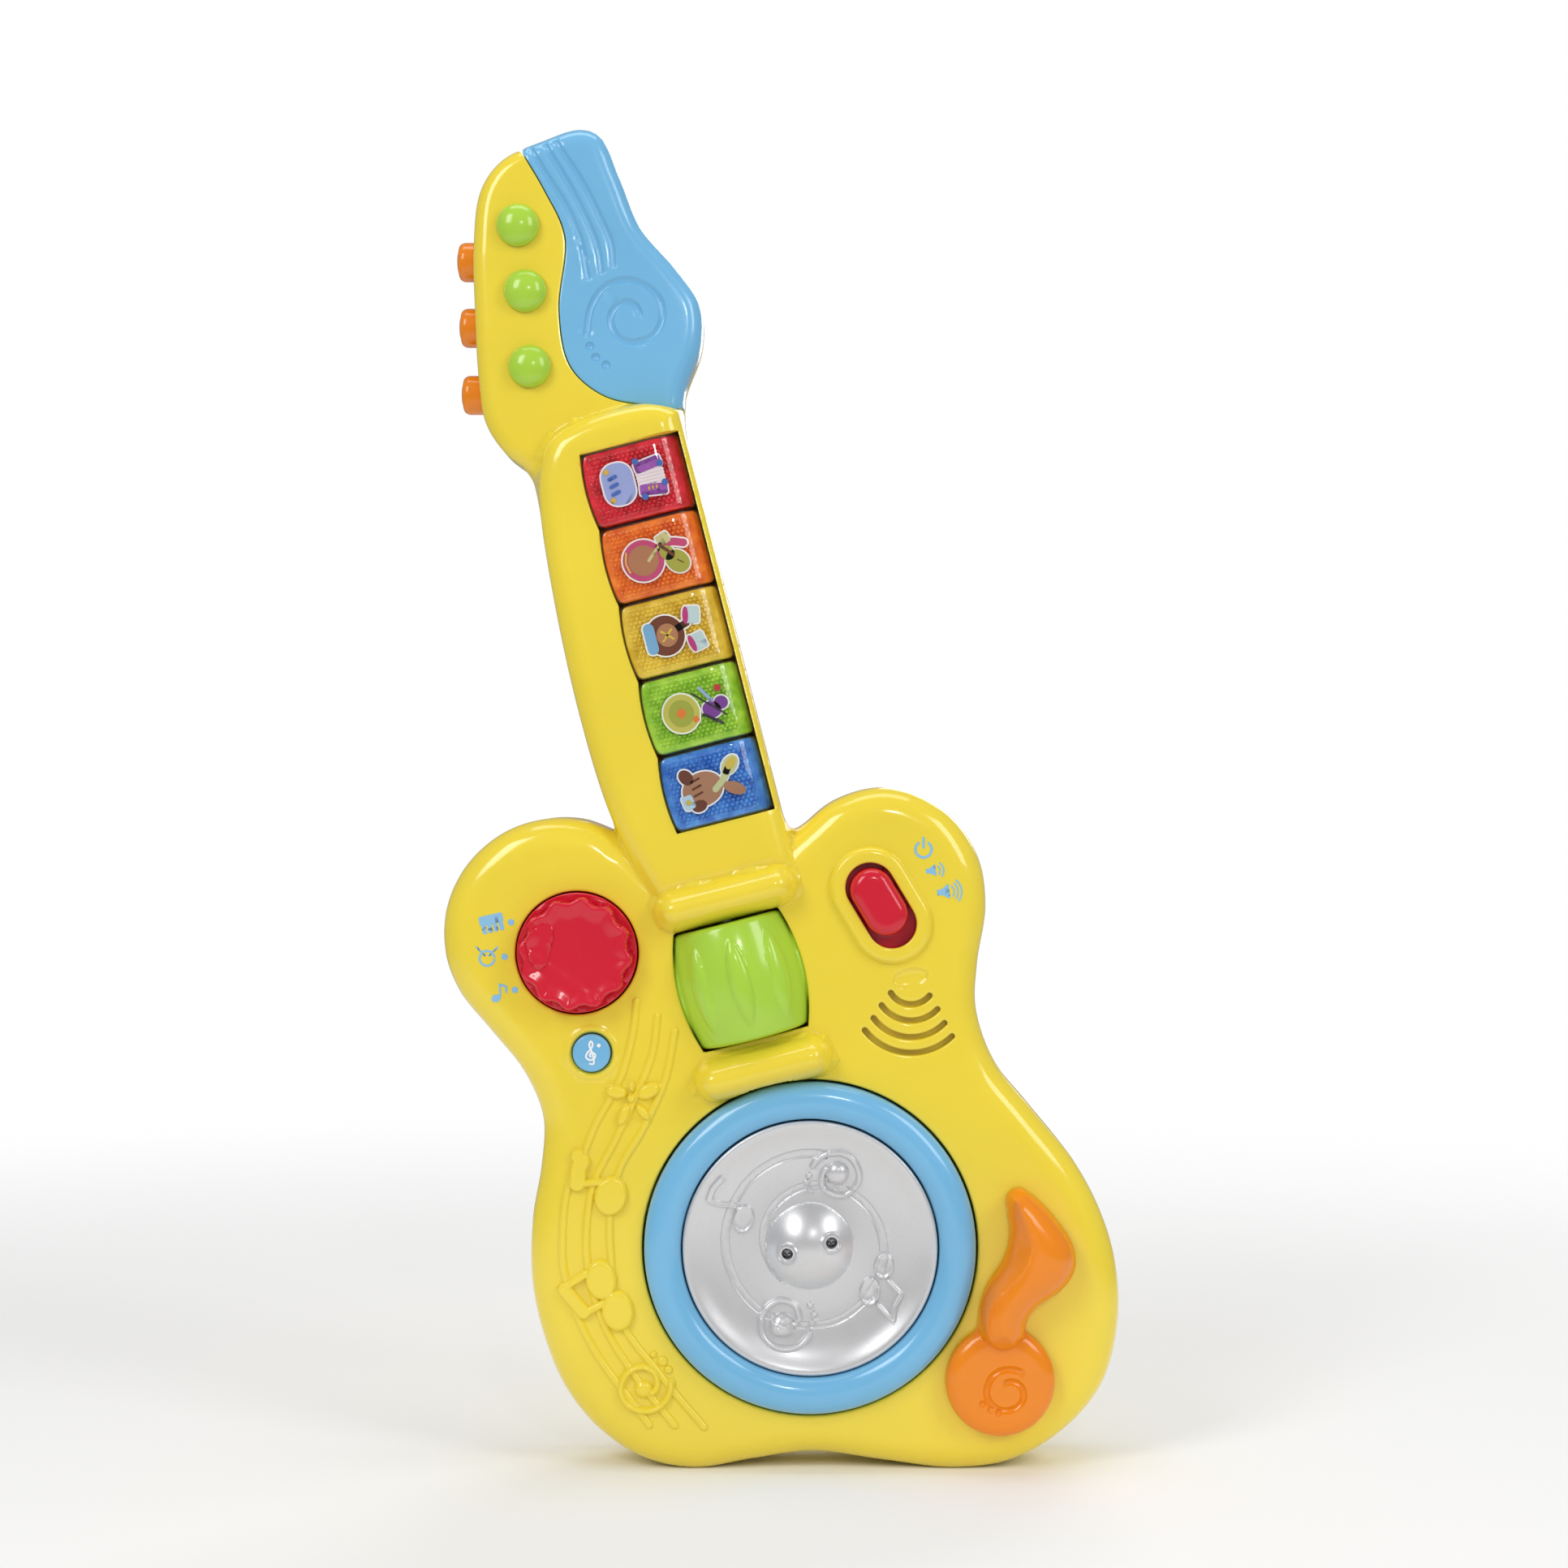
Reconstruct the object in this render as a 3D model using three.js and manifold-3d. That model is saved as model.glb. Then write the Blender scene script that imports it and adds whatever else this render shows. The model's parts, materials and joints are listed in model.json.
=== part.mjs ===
// Toy electric guitar with five lit keys, a finger roller, a turntable, a mode knob, a power slider,
// a song button and a note-shaped lever, built as separate moulded and bought pieces.
//
// Millimetres. The pieces are drawn in a face frame (X right, Y up the standing guitar, Z out of the
// face, Z = 0 on the back), which is turned at the end so that the guitar stands along +Z with its
// face towards -Y. Things on the neck are drawn in a neck frame that leans with the neck.

import * as THREE from 'three';
import { mergeVertices } from 'three/addons/utils/BufferGeometryUtils.js';
import Module from 'manifold-3d';

const wasm = await Module();
wasm.setup();

// ---------------------------------------------------------------- driving dimensions

const GAP = 0.35;              // air between two pieces that meet
const BELOW = -10;             // cutters start below the back and end above the face
const ABOVE = 60;
const WALL = 2.4;              // moulded wall
const FACE_CUT = 8;            // depth of the cutters that open the face
const PARTING = 16;            // height where the front and back shells meet
const BODY_FRONT = 36;
const BODY_EDGE = 9;           // width of the rounded front rim of the body
const BODY_RISE = 8;           // its height
const NECK_BACK = 2;
const NECK_FRONT = 39;
const NECK_EDGE = 6;
const HEAD_BACK = 4;
const HEAD_FRONT = 30;
const HEAD_EDGE = 5;

const NECK_LEAN = THREE.MathUtils.degToRad(14.4);
const NECK_ORIGIN = [-16.85, 200];   // lower end of the row of keys, on its centre line
const AXIS_U = -7.8;                 // centre line of roller and turntable in the neck frame

const KEY_COUNT = 5;
const KEY_PITCH = 24;
const KEY_WIDTH = 30.4;
const KEY_LENGTH = 23.4;
const KEY_BULGE = 1.2;
const KEY_BASE = 30.6;
const KEY_TOP = 41;
const KEY_GAP = 0.45;          // air between a key and its window
const KEY_STROKE = 2;          // how far a key travels down

const ROLLER_V = -48.4;
const ROLLER_AXIS_Z = 26;
const ROLLER_LENGTH = 36.4;
const ROLLER_MID_R = 21.5;
const ROLLER_END_R = 18.6;
const AXLE_R = 1.9;

const TABLE = [8.9, 69];       // turntable centre
const WELL_R = 51.7;
const RING_R = 51;
const RING_TOP = 41;
const RING_INNER_R = 39.6;
const DISC_R = 39.1;
const DOME_R = 13.3;
const DISC_SCREWS = [[-7, -1.7], [6.6, 1.7]];
const DISC_POCKET_R = 2.5;
const DISC_SCREW_HOLE_R = 1.5;
const SPINDLE_R = 4;

const KNOB = [-62.8, 159.6];
const KNOB_R = 18.5;
const KNOB_HOLE_R = 19;
const KNOB_LOBES = 10;
const KNOB_SHAFT_R = 3;
const SONG = [-58.2, 128.9];
const SONG_R = 5.8;
const SLOT = [30.7, 174.2];
const SLOT_TURN = THREE.MathUtils.degToRad(31);
const SLOT_LENGTH = 28.2;
const BEZEL_LENGTH = 37;
const BEZEL_WIDTH = 24;
const BEZEL_RISE = 2.2;
const SLOT_WIDTH = 15.2;
const SLIDER_LENGTH = 22;
const SLIDER_WIDTH = 13.4;
const SLIDER_REST = 1.3;       // how far the cap rests above the slot's middle
const SPEAKER = [38.6, 138];
const SPEAKER_R = 16.5;
const LEVER = [67.1, 28.6];
const LEVER_R = 16.7;
const LEVER_TOP = 50;

const TUNER_DOMES = [[-81.5, 384.4], [-79.2, 364.1], [-77.8, 340.7]];
const TUNER_DOME_R = 6.6;
const TUNER_STEM_R = 2.2;
const TUNER_PEGS = [[-101.7, 375.6], [-101, 354.9], [-100.3, 333.8]];
const PEG_R = 6.1;
const PEG_Z = 16;

const CELL_R = 7.1;
const CELL_LENGTH = 50.5;
const BAY = { left: -18.5, right: 36.5, low: 12.5, high: 57.5, roof: 17.5 };
const DOOR_RIGHT = 45;
const DOOR_SCREW = [40.8, 35];

const SCREW_R = 1.45;
const SCREW_HOLE_R = 1.8;
const SCREW_HEAD_R = 3;
const SCREW_WELL_R = 3.7;      // wells in the back that take the screw heads
const SCREW_WELL_DEPTH = 7;
const CASE_SCREWS = [
  { name: 'case_screw_horn_left', at: [-86, 180], top: 27, back: 0 },
  { name: 'case_screw_horn_right', at: [50, 190], top: 27, back: 0 },
  { name: 'case_screw_waist_left', at: [-62, 106], top: 27, back: 0 },
  { name: 'case_screw_waist_right', at: [57, 113], top: 27, back: 0 },
  { name: 'case_screw_lobe_left', at: [-45, 24], top: 27, back: 0 },
  { name: 'case_screw_lobe_right', at: [90, 42], top: 27, back: 0 },
  { name: 'case_screw_neck', at: [-59, 262], top: 29, back: NECK_BACK },
  { name: 'case_screw_head', at: [-84, 355], top: 24, back: HEAD_BACK },
  { name: 'cover_screw', at: [-48, 366], top: 24, back: HEAD_BACK },
];

// ---------------------------------------------------------------- outlines

const BODY_LOOP = [
  [9.5, 4.8], [32, 2], [54, -0.4], [72, 2.4], [88, 12], [99.5, 26], [104.5, 46], [103.5, 64],
  [98.6, 80], [90.5, 95], [78.5, 110], [66, 125.8], [60.4, 142], [60.8, 156], [63.4, 174],
  [60.8, 189.5], [50, 203.8], [33, 210.4], [17, 206.6], [5, 197], [-10, 184], [-34, 182],
  [-47, 193], [-58, 199.4], [-71, 200.9], [-85, 197], [-97, 187], [-103.6, 173.5],
  [-104, 159], [-99.4, 147], [-90, 135.4], [-79.6, 122.4], [-73.8, 108.5], [-74.2, 94],
  [-77, 77], [-77.2, 58], [-73.6, 41], [-67, 25], [-57, 12.4], [-43, 3], [-27, -0.4], [-9, 2.4],
];

const HEAD_LOOP = [
  [-75.3, 300], [-77, 307], [-86, 314.6], [-92, 324], [-94.2, 338], [-95.4, 360], [-95.8, 378],
  [-93.6, 396], [-87, 405.4], [-74, 411.6], [-62.5, 415.1], [-56, 412.8], [-50, 400],
  [-43.5, 384.5], [-32.5, 371.6], [-25.4, 361], [-24.8, 349], [-30, 334], [-32, 318], [-50, 300],
];

const COVER_BOUNDARY = [
  [-84, 413], [-73.4, 395.5], [-67, 381], [-68.8, 358], [-65.4, 341], [-55, 331.8],
  [-40, 328.6], [-24, 327],
];

const NECK_LEFT_SIDE = [
  [17.4, 126.4], [10, 130.6], [-12, 131], [-24, 126.8], [-29.6, 117], [-32, 106], [-34.4, 82],
  [-35.8, 48], [-34.8, 16], [-31.6, -4], [-27.2, -20],
];

const LEVER_FLAG = [
  [60.4, 24], [60.9, 42], [60.6, 50], [63, 57.4], [68.2, 65.6], [70.1, 73.5], [69.4, 80],
  [69.4, 85.5], [73, 87.6], [78.4, 84.4], [85, 77.2], [89.6, 69.4], [89.8, 62.4], [85.6, 56.4],
  [78.4, 51.4], [75.2, 47], [74.2, 41], [74, 24],
];

// ---------------------------------------------------------------- shape helpers

const vectors = (pairs) => pairs.map(([x, y]) => new THREE.Vector2(x, y));

function smoothLoop(pairs, count) {
  const knots = pairs.map(([x, y]) => new THREE.Vector3(x, y, 0));
  const curve = new THREE.CatmullRomCurve3(knots, true, 'centripetal');
  const points = curve.getSpacedPoints(count);
  points.pop();
  return points.map((point) => new THREE.Vector2(point.x, point.y));
}

function smoothLine(pairs, count) {
  return new THREE.SplineCurve(vectors(pairs)).getSpacedPoints(count);
}

function circle(radius, sides) {
  const points = [];
  for (let i = 0; i < sides; i += 1) {
    const turn = (2 * Math.PI * i) / sides;
    points.push(new THREE.Vector2(radius * Math.cos(turn), radius * Math.sin(turn)));
  }
  return points;
}

// Slot-shaped outline along Y, centred on the origin.
function capsule(length, width, steps = 8) {
  const points = [];
  const reach = (length - width) / 2;
  for (let i = 0; i <= 2 * steps + 1; i += 1) {
    const upper = i <= steps;
    const turn = (Math.PI * (upper ? i : i - 1)) / steps;
    points.push(new THREE.Vector2(
      (width / 2) * Math.cos(turn),
      (width / 2) * Math.sin(turn) + (upper ? reach : -reach),
    ));
  }
  return points;
}

function box(x0, x1, y0, y1) {
  return vectors([[x0, y0], [x1, y0], [x1, y1], [x0, y1]]);
}

// Outline moved inwards by `distance` (outwards when it is negative).
function inset(points, distance) {
  const side = THREE.ShapeUtils.isClockWise(points) ? -1 : 1;
  return points.map((point, i) => {
    const before = points[(i + points.length - 1) % points.length];
    const after = points[(i + 1) % points.length];
    const along = after.clone().sub(before).normalize();
    return new THREE.Vector2(point.x - side * along.y * distance, point.y + side * along.x * distance);
  });
}

// Outline raised from z = back to z = front; both rims are rounded by `edge` inwards, `rise` high.
function plate(points, back, front, edge = 0, rise = edge, steps = 3) {
  const shape = new THREE.Shape(points);
  const geometry = new THREE.ExtrudeGeometry(shape, {
    depth: front - back - 2 * rise * (edge > 0 ? 1 : 0),
    bevelEnabled: edge > 0,
    bevelSize: edge,
    bevelOffset: -edge,
    bevelThickness: rise,
    bevelSegments: steps,
  });
  geometry.translate(0, 0, back + (edge > 0 ? rise : 0));
  return geometry;
}

// Body of revolution about Z from (radius, height) pairs.
function turned(profile, sides) {
  const geometry = new THREE.LatheGeometry(vectors(profile), sides);
  geometry.rotateX(Math.PI / 2);
  return geometry;
}

// Closed ring profile: the first pair is repeated at the end.
function turnedRing(profile, sides) {
  return turned([...profile, profile[0]], sides);
}

function disc(radius, back, front, sides = 16) {
  return turned([[0, back], [radius, back], [radius, front], [0, front]], sides);
}

function at(geometry, [x, y]) {
  geometry.translate(x, y, 0);
  return geometry;
}

const neckMatrix = new THREE.Matrix4()
  .makeTranslation(NECK_ORIGIN[0], NECK_ORIGIN[1], 0)
  .multiply(new THREE.Matrix4().makeRotationZ(NECK_LEAN));

function onNeck(geometry) {
  return geometry.applyMatrix4(neckMatrix);
}

function solid(geometry) {
  const plain = geometry.clone();
  plain.deleteAttribute('normal');
  plain.deleteAttribute('uv');
  const merged = mergeVertices(plain, 1e-4);
  let body = new wasm.Manifold(new wasm.Mesh({
    numProp: 3,
    vertProperties: new Float32Array(merged.attributes.position.array),
    triVerts: new Uint32Array(merged.index.array),
  }));
  if (body.volume() < 0) {
    const flipped = merged.index.array.slice();
    for (let i = 0; i < flipped.length; i += 3) {
      [flipped[i], flipped[i + 1]] = [flipped[i + 1], flipped[i]];
    }
    body = new wasm.Manifold(new wasm.Mesh({
      numProp: 3,
      vertProperties: new Float32Array(merged.attributes.position.array),
      triVerts: new Uint32Array(flipped),
    }));
  }
  return body;
}

const join = (...geometries) => geometries.map(solid).reduce((sum, next) => sum.add(next));

function geometryOf(body) {
  const mesh = body.getMesh();
  const geometry = new THREE.BufferGeometry();
  geometry.setAttribute('position', new THREE.BufferAttribute(mesh.vertProperties, 3));
  geometry.setIndex(new THREE.BufferAttribute(mesh.triVerts, 1));
  geometry.computeVertexNormals();
  return geometry;
}

// ---------------------------------------------------------------- materials

const look = (color, roughness, metalness = 0) => () => (
  new THREE.MeshStandardMaterial({ color, roughness, metalness })
);
const yellow = look(0xf2dc46, 0.25);
const blue = look(0x7ac0e6, 0.25);
const red = look(0xdc2846, 0.25);
const orange = look(0xf8922a, 0.3);
const green = look(0xaddb4e, 0.25);
const silver = look(0xc9c9cc, 0.35, 0.6);
const steel = look(0xb0b2b5, 0.35, 1);
const copper = look(0xc8a050, 0.4, 1);
const board = look(0x2e7d46, 0.5);
const rubber = look(0xd8d8d4, 0.8);
const black = look(0x1c1c1e, 0.5);
const white = look(0xf2f2f0, 0.4);

const guitar = new THREE.Group();

function add(name, body, material) {
  const mesh = new THREE.Mesh(body.isBufferGeometry ? body : geometryOf(body), material());
  mesh.name = name;
  guitar.add(mesh);
}

// ---------------------------------------------------------------- shells

const bodyLoop = smoothLoop(BODY_LOOP, 64);
const headLoop = smoothLoop(HEAD_LOOP, 48);
const neckLoop = [
  ...vectors([[17.4, -20]]),
  ...smoothLine(NECK_LEFT_SIDE, 16),
];
const coverEdge = smoothLine(COVER_BOUNDARY, 16);
const coverRegion = [...coverEdge, ...vectors([[-12, 350], [-30, 400], [-50, 430], [-84, 425]])];

const FAR = 300;
const frontHalf = solid(plate(box(-FAR, FAR, 0, 2 * FAR), PARTING + GAP / 2, ABOVE));
const backHalf = solid(plate(box(-FAR, FAR, 0, 2 * FAR), BELOW, PARTING - GAP / 2));

const SADDLE_WIDTH = 13;
const SADDLE_TOP = 46;
const SADDLE_TURN = Math.PI / 2;
const SADDLES = [
  { u: -6, v: -23.6, length: 45.6 },
  { u: AXIS_U, v: -75.6, length: 43.6 },
];

function saddle({ u, v, length }, shrink, top) {
  const outline = capsule(length - 2 * shrink, SADDLE_WIDTH - 2 * shrink, shrink > 0 ? 3 : 5);
  const edge = (SADDLE_WIDTH - 2 * shrink) / 2 - 1;
  const bar = plate(outline, PARTING + 4, top, edge, edge, shrink > 0 ? 1 : 3);
  bar.rotateZ(SADDLE_TURN);
  bar.translate(u, v, 0);
  return onNeck(bar);
}

function outerBlock() {
  return join(
    plate(bodyLoop, 0, BODY_FRONT, BODY_EDGE, BODY_RISE, 2),
    onNeck(plate(neckLoop, NECK_BACK, NECK_FRONT, NECK_EDGE, NECK_EDGE, 2)),
    plate(headLoop, HEAD_BACK, HEAD_FRONT, HEAD_EDGE, HEAD_EDGE, 2),
  );
}

function innerBlock() {
  const inner = (points) => inset(points, WALL);
  return join(
    plate(inner(bodyLoop), WALL, BODY_FRONT - WALL, BODY_EDGE - WALL, BODY_RISE - WALL, 1),
    onNeck(plate(inner(neckLoop), NECK_BACK + WALL, NECK_FRONT - WALL, NECK_EDGE - WALL, 3.6, 1)),
    plate(inner(headLoop), HEAD_BACK + WALL, HEAD_FRONT - WALL, HEAD_EDGE - WALL, 2.6, 1),
  );
}

function keyOutline(grow) {
  const half = KEY_WIDTH / 2 + grow;
  const long = KEY_LENGTH / 2 + grow;
  const points = vectors([[half, -long], [half, long]]);
  for (let i = 0; i <= 4; i += 1) {
    const along = 1 - i / 2;
    points.push(new THREE.Vector2(-half - KEY_BULGE * (1 - along * along), along * long));
  }
  return points;
}

const keyCentre = (i) => KEY_PITCH * (KEY_COUNT - 0.5 - i);

const rollerMatrix = neckMatrix.clone()
  .multiply(new THREE.Matrix4().makeTranslation(AXIS_U, ROLLER_V, ROLLER_AXIS_Z))
  .multiply(new THREE.Matrix4().makeRotationX(-Math.PI / 2));

// Drawn about Z, then laid along the neck on the roller's axis.
function onRollerAxis(geometry) {
  return geometry.applyMatrix4(rollerMatrix);
}

function barrelProfile(grow) {
  const half = ROLLER_LENGTH / 2 + grow;
  const profile = [];
  for (let i = 0; i <= 4; i += 1) {
    const along = i / 2 - 1;
    const radius = ROLLER_MID_R - (ROLLER_MID_R - ROLLER_END_R) * along * along;
    profile.push([radius + grow, along * half]);
  }
  return profile;
}

function rollerClearance() {
  const profile = barrelProfile(0.7);
  const half = profile[profile.length - 1][1];
  return onRollerAxis(turned([[0, -half], ...profile, [0, half]], 28));
}

function slotPlace(geometry, along = 0) {
  geometry.translate(0, along, 0);
  geometry.rotateZ(SLOT_TURN);
  return at(geometry, SLOT);
}

const SPEAKER_SLOTS = [
  { radius: 8.2, centreY: 151, sweep: 55 },
  { radius: 12, centreY: 149.8, sweep: 51 },
  { radius: 15.2, centreY: 147.9, sweep: 50 },
  { radius: 19, centreY: 146.9, sweep: 48 },
];
const SLOT_TILT = -4;
const SPEAKER_SLOT_WIDTH = 1.8;

function speakerSlot({ radius, centreY, sweep }) {
  const points = [];
  const steps = 5;
  for (const [r, direction] of [[radius, 1], [radius - SPEAKER_SLOT_WIDTH, -1]]) {
    for (let i = 0; i <= steps; i += 1) {
      const degrees = 270 + SLOT_TILT + direction * sweep * ((2 * i) / steps - 1);
      const turn = THREE.MathUtils.degToRad(degrees);
      points.push(new THREE.Vector2(40 + r * Math.cos(turn), centreY + r * Math.sin(turn)));
    }
  }
  return plate(points, BODY_FRONT - FACE_CUT, BODY_FRONT + 4);
}

const PAN_FLOOR = 24.5;
const PAN_UNDER = 22;

function pegHole([, y]) {
  const hole = disc(PEG_R + GAP, -112, -80, 16);
  hole.rotateY(Math.PI / 2);
  hole.translate(0, y, PEG_Z);
  return hole;
}

function frontShell() {
  let outer = outerBlock();
  for (const bar of SADDLES) {
    outer = outer.add(solid(saddle(bar, 0, SADDLE_TOP)));
  }
  const bezel = plate(capsule(BEZEL_LENGTH, BEZEL_WIDTH, 8), 30, BODY_FRONT + BEZEL_RISE, 2, 2, 1);
  outer = outer.add(solid(slotPlace(bezel)));
  outer = outer.subtract(solid(plate(inset(coverRegion, -GAP), BELOW, ABOVE)));

  let inner = innerBlock();
  for (const bar of SADDLES) {
    inner = inner.add(solid(saddle(bar, WALL, SADDLE_TOP - WALL)));
  }
  inner = inner.subtract(solid(plate(inset(coverRegion, -WALL - GAP), BELOW, ABOVE)));
  let shell = outer.subtract(inner);

  shell = shell.add(solid(at(disc(WELL_R + WALL, PAN_UNDER, BODY_FRONT - 1, 36), TABLE)));
  shell = shell.add(solid(at(disc(SPINDLE_R + 4, PAN_UNDER - 0.4, PAN_UNDER + 1, 12), TABLE)));
  for (const { at: place, top } of CASE_SCREWS.filter(({ name }) => name !== 'cover_screw')) {
    shell = shell.add(solid(at(disc(3.6, PARTING, top + 8.2, 8), place)).intersect(outer));
  }
  shell = shell.add(solid(at(disc(6.6, BODY_FRONT - 8, BODY_FRONT - 1, 12), LEVER)));
  for (const place of TUNER_DOMES) {
    shell = shell.add(solid(at(disc(4.2, HEAD_FRONT - 6, HEAD_FRONT - 1, 8), place)));
  }

  const cuts = [
    at(disc(WELL_R, PAN_FLOOR, ABOVE, 40), TABLE),
    at(disc(SPINDLE_R + GAP, 10, ABOVE, 16), TABLE),
    at(disc(KNOB_HOLE_R, BODY_FRONT - FACE_CUT, ABOVE, 32), KNOB),
    at(disc(SONG_R + GAP, BODY_FRONT - FACE_CUT, ABOVE, 16), SONG),
    slotPlace(plate(capsule(SLOT_LENGTH, SLOT_WIDTH, 6), BODY_FRONT - FACE_CUT, ABOVE)),
    at(disc(SPINDLE_R + GAP, 10, ABOVE, 16), LEVER),
    rollerClearance(),
    ...SPEAKER_SLOTS.map(speakerSlot),
    ...TUNER_PEGS.map(pegHole),
    ...TUNER_DOMES.map((place) => at(disc(TUNER_STEM_R + 0.4, 10, ABOVE, 10), place)),
    ...CASE_SCREWS.map(({ at: place, top }) => at(disc(SCREW_HOLE_R, 0, top, 8), place)),
  ];
  for (let i = 0; i < KEY_COUNT; i += 1) {
    const window = plate(keyOutline(KEY_GAP), KEY_BASE - KEY_STROKE - GAP, ABOVE);
    window.translate(0, keyCentre(i), 0);
    cuts.push(onNeck(window));
  }
  for (const cut of cuts) {
    shell = shell.subtract(solid(cut));
  }
  return shell.intersect(frontHalf);
}

function screwBoss({ at: place, back }) {
  return at(disc(5.2, back, PARTING, 10), place);
}

function screwHoles({ at: place, back }) {
  return join(
    at(disc(SCREW_WELL_R, -1, back + SCREW_WELL_DEPTH, 12), place),
    at(disc(SCREW_HOLE_R, 0, 30, 8), place),
  );
}

const POST_HALF = ROLLER_LENGTH / 2 + 1.2;
const POST_THICK = 3.4;

function rollerPost(side) {
  const post = plate(box(-5.5, 5.5, 0, POST_THICK), WALL - 1, ROLLER_AXIS_Z + 4.5);
  post.translate(AXIS_U, ROLLER_V + side * (POST_HALF + POST_THICK / 2) - POST_THICK / 2, 0);
  return onNeck(post);
}

function backShell() {
  const outer = outerBlock();
  let shell = outer.subtract(innerBlock()).intersect(backHalf);
  const bay = plate(box(BAY.left - WALL, DOOR_RIGHT + WALL, BAY.low - WALL, BAY.high + WALL), 0, 10);
  const bayUpper = plate(
    box(BAY.left - WALL, BAY.right + WALL, BAY.low - WALL, BAY.high + WALL), 9, BAY.roof + 1.6,
  );
  shell = shell.add(solid(bay)).add(solid(bayUpper));
  for (const screw of CASE_SCREWS) {
    shell = shell.add(solid(screwBoss(screw)).intersect(backHalf));
  }
  shell = shell.add(solid(rollerPost(1))).add(solid(rollerPost(-1)));
  for (const screw of CASE_SCREWS) {
    shell = shell.subtract(screwHoles(screw));
  }
  const cuts = [
    plate(box(BAY.left, BAY.right, BAY.low, BAY.high), -1, BAY.roof),
    plate(box(BAY.left, DOOR_RIGHT, BAY.low, BAY.high), -1, 2.7),
    at(disc(SCREW_HOLE_R, -1, 8.6, 10), DOOR_SCREW),
    onRollerAxis(disc(AXLE_R + GAP, -POST_HALF - 2.6, POST_HALF + 2.6, 16)),
    ...TUNER_PEGS.map(pegHole),
  ];
  for (const cut of cuts) {
    shell = shell.subtract(solid(cut));
  }
  return shell;
}

function headCover() {
  const block = solid(plate(headLoop, HEAD_BACK, HEAD_FRONT, HEAD_EDGE, HEAD_EDGE, 2));
  const hollow = solid(plate(inset(headLoop, WALL), BELOW, HEAD_FRONT - WALL, HEAD_EDGE - WALL, 2.6, 1));
  const region = solid(plate(coverRegion, BELOW, ABOVE));
  const innerRegion = solid(plate(inset(coverRegion, WALL), BELOW, ABOVE));
  const screw = CASE_SCREWS.find(({ name }) => name === 'cover_screw');
  return block.intersect(region)
    .subtract(hollow.intersect(innerRegion))
    .add(solid(at(disc(3.6, PARTING, HEAD_FRONT - 1, 8), screw.at)))
    .subtract(solid(at(disc(SCREW_HOLE_R, 0, screw.top, 10), screw.at)))
    .intersect(frontHalf);
}

add('front_shell', frontShell(), yellow);
add('back_shell', backShell(), yellow);
add('head_cover', headCover(), blue);

// ---------------------------------------------------------------- tuners on the head

TUNER_DOMES.forEach((place, i) => {
  const profile = [
    [0, HEAD_FRONT - 5], [TUNER_STEM_R, HEAD_FRONT - 5], [TUNER_STEM_R, HEAD_FRONT + GAP],
    [TUNER_DOME_R, HEAD_FRONT + GAP],
  ];
  for (let step = 1; step <= 3; step += 1) {
    const turn = (Math.PI / 2) * (step / 3);
    profile.push([TUNER_DOME_R * Math.cos(turn), HEAD_FRONT + 0.9 + 4.2 * Math.sin(turn)]);
  }
  profile[profile.length - 1][0] = 0;
  add(`tuner_dome_${i + 1}`, at(turned(profile, 16), place), green);
});

TUNER_PEGS.forEach(([x, y], i) => {
  const peg = turned([[0, 0], [3.6, 0], [5.3, 0.9], [PEG_R, 3], [PEG_R, 12], [0, 12]], 16);
  peg.rotateY(Math.PI / 2);
  peg.translate(x, y, PEG_Z);
  add(`tuner_peg_${i + 1}`, peg, orange);
});

// ---------------------------------------------------------------- keys

const KEY_NAMES = ['key_red', 'key_orange', 'key_amber', 'key_green', 'key_blue'];
const KEY_LOOKS = [red, orange, look(0xd9a514, 0.3), green, look(0x2f7fd6, 0.3)];

function key(i) {
  const cap = solid(plate(keyOutline(0), KEY_BASE, KEY_TOP, 1.2, 1.2, 2));
  const hollow = solid(plate(inset(keyOutline(0), 1.8), KEY_BASE - 2, KEY_TOP - 5.4));
  const side = -KEY_WIDTH / 2;
  const flange = solid(plate(box(side - 2.6, side + 1, -9, 9), KEY_BASE, KEY_BASE + 1.6));
  const section = new THREE.Shape(vectors([
    [-30, 20], [KEY_WIDTH / 2 + 3, 20], [KEY_WIDTH / 2 + 3, 34.8], [KEY_WIDTH / 2 - 1.2, 38],
    [KEY_WIDTH / 2 - 5, 40], [KEY_WIDTH / 2 - 11, KEY_TOP], [-30, KEY_TOP],
  ]));
  const envelope = new THREE.ExtrudeGeometry(section, { depth: 60, bevelEnabled: false });
  envelope.translate(0, 0, -30);
  envelope.rotateX(Math.PI / 2);
  const body = cap.intersect(solid(envelope)).subtract(hollow).add(flange);
  const geometry = geometryOf(body);
  geometry.translate(0, keyCentre(i), 0);
  return onNeck(geometry);
}

for (let i = 0; i < KEY_COUNT; i += 1) {
  add(KEY_NAMES[i], key(i), KEY_LOOKS[i]);
}

const KEY_ROW = KEY_COUNT * KEY_PITCH;
const KEY_BOARD = 22;
const LAMP_U = -1;
const PAD_US = [-9.5, 7.5];
const KEY_BOARD_OUTLINE = box(-13, 11, 2, KEY_ROW - 2);
add('key_board', onNeck(plate(KEY_BOARD_OUTLINE, KEY_BOARD, KEY_BOARD + 1.6)), board);

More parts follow.
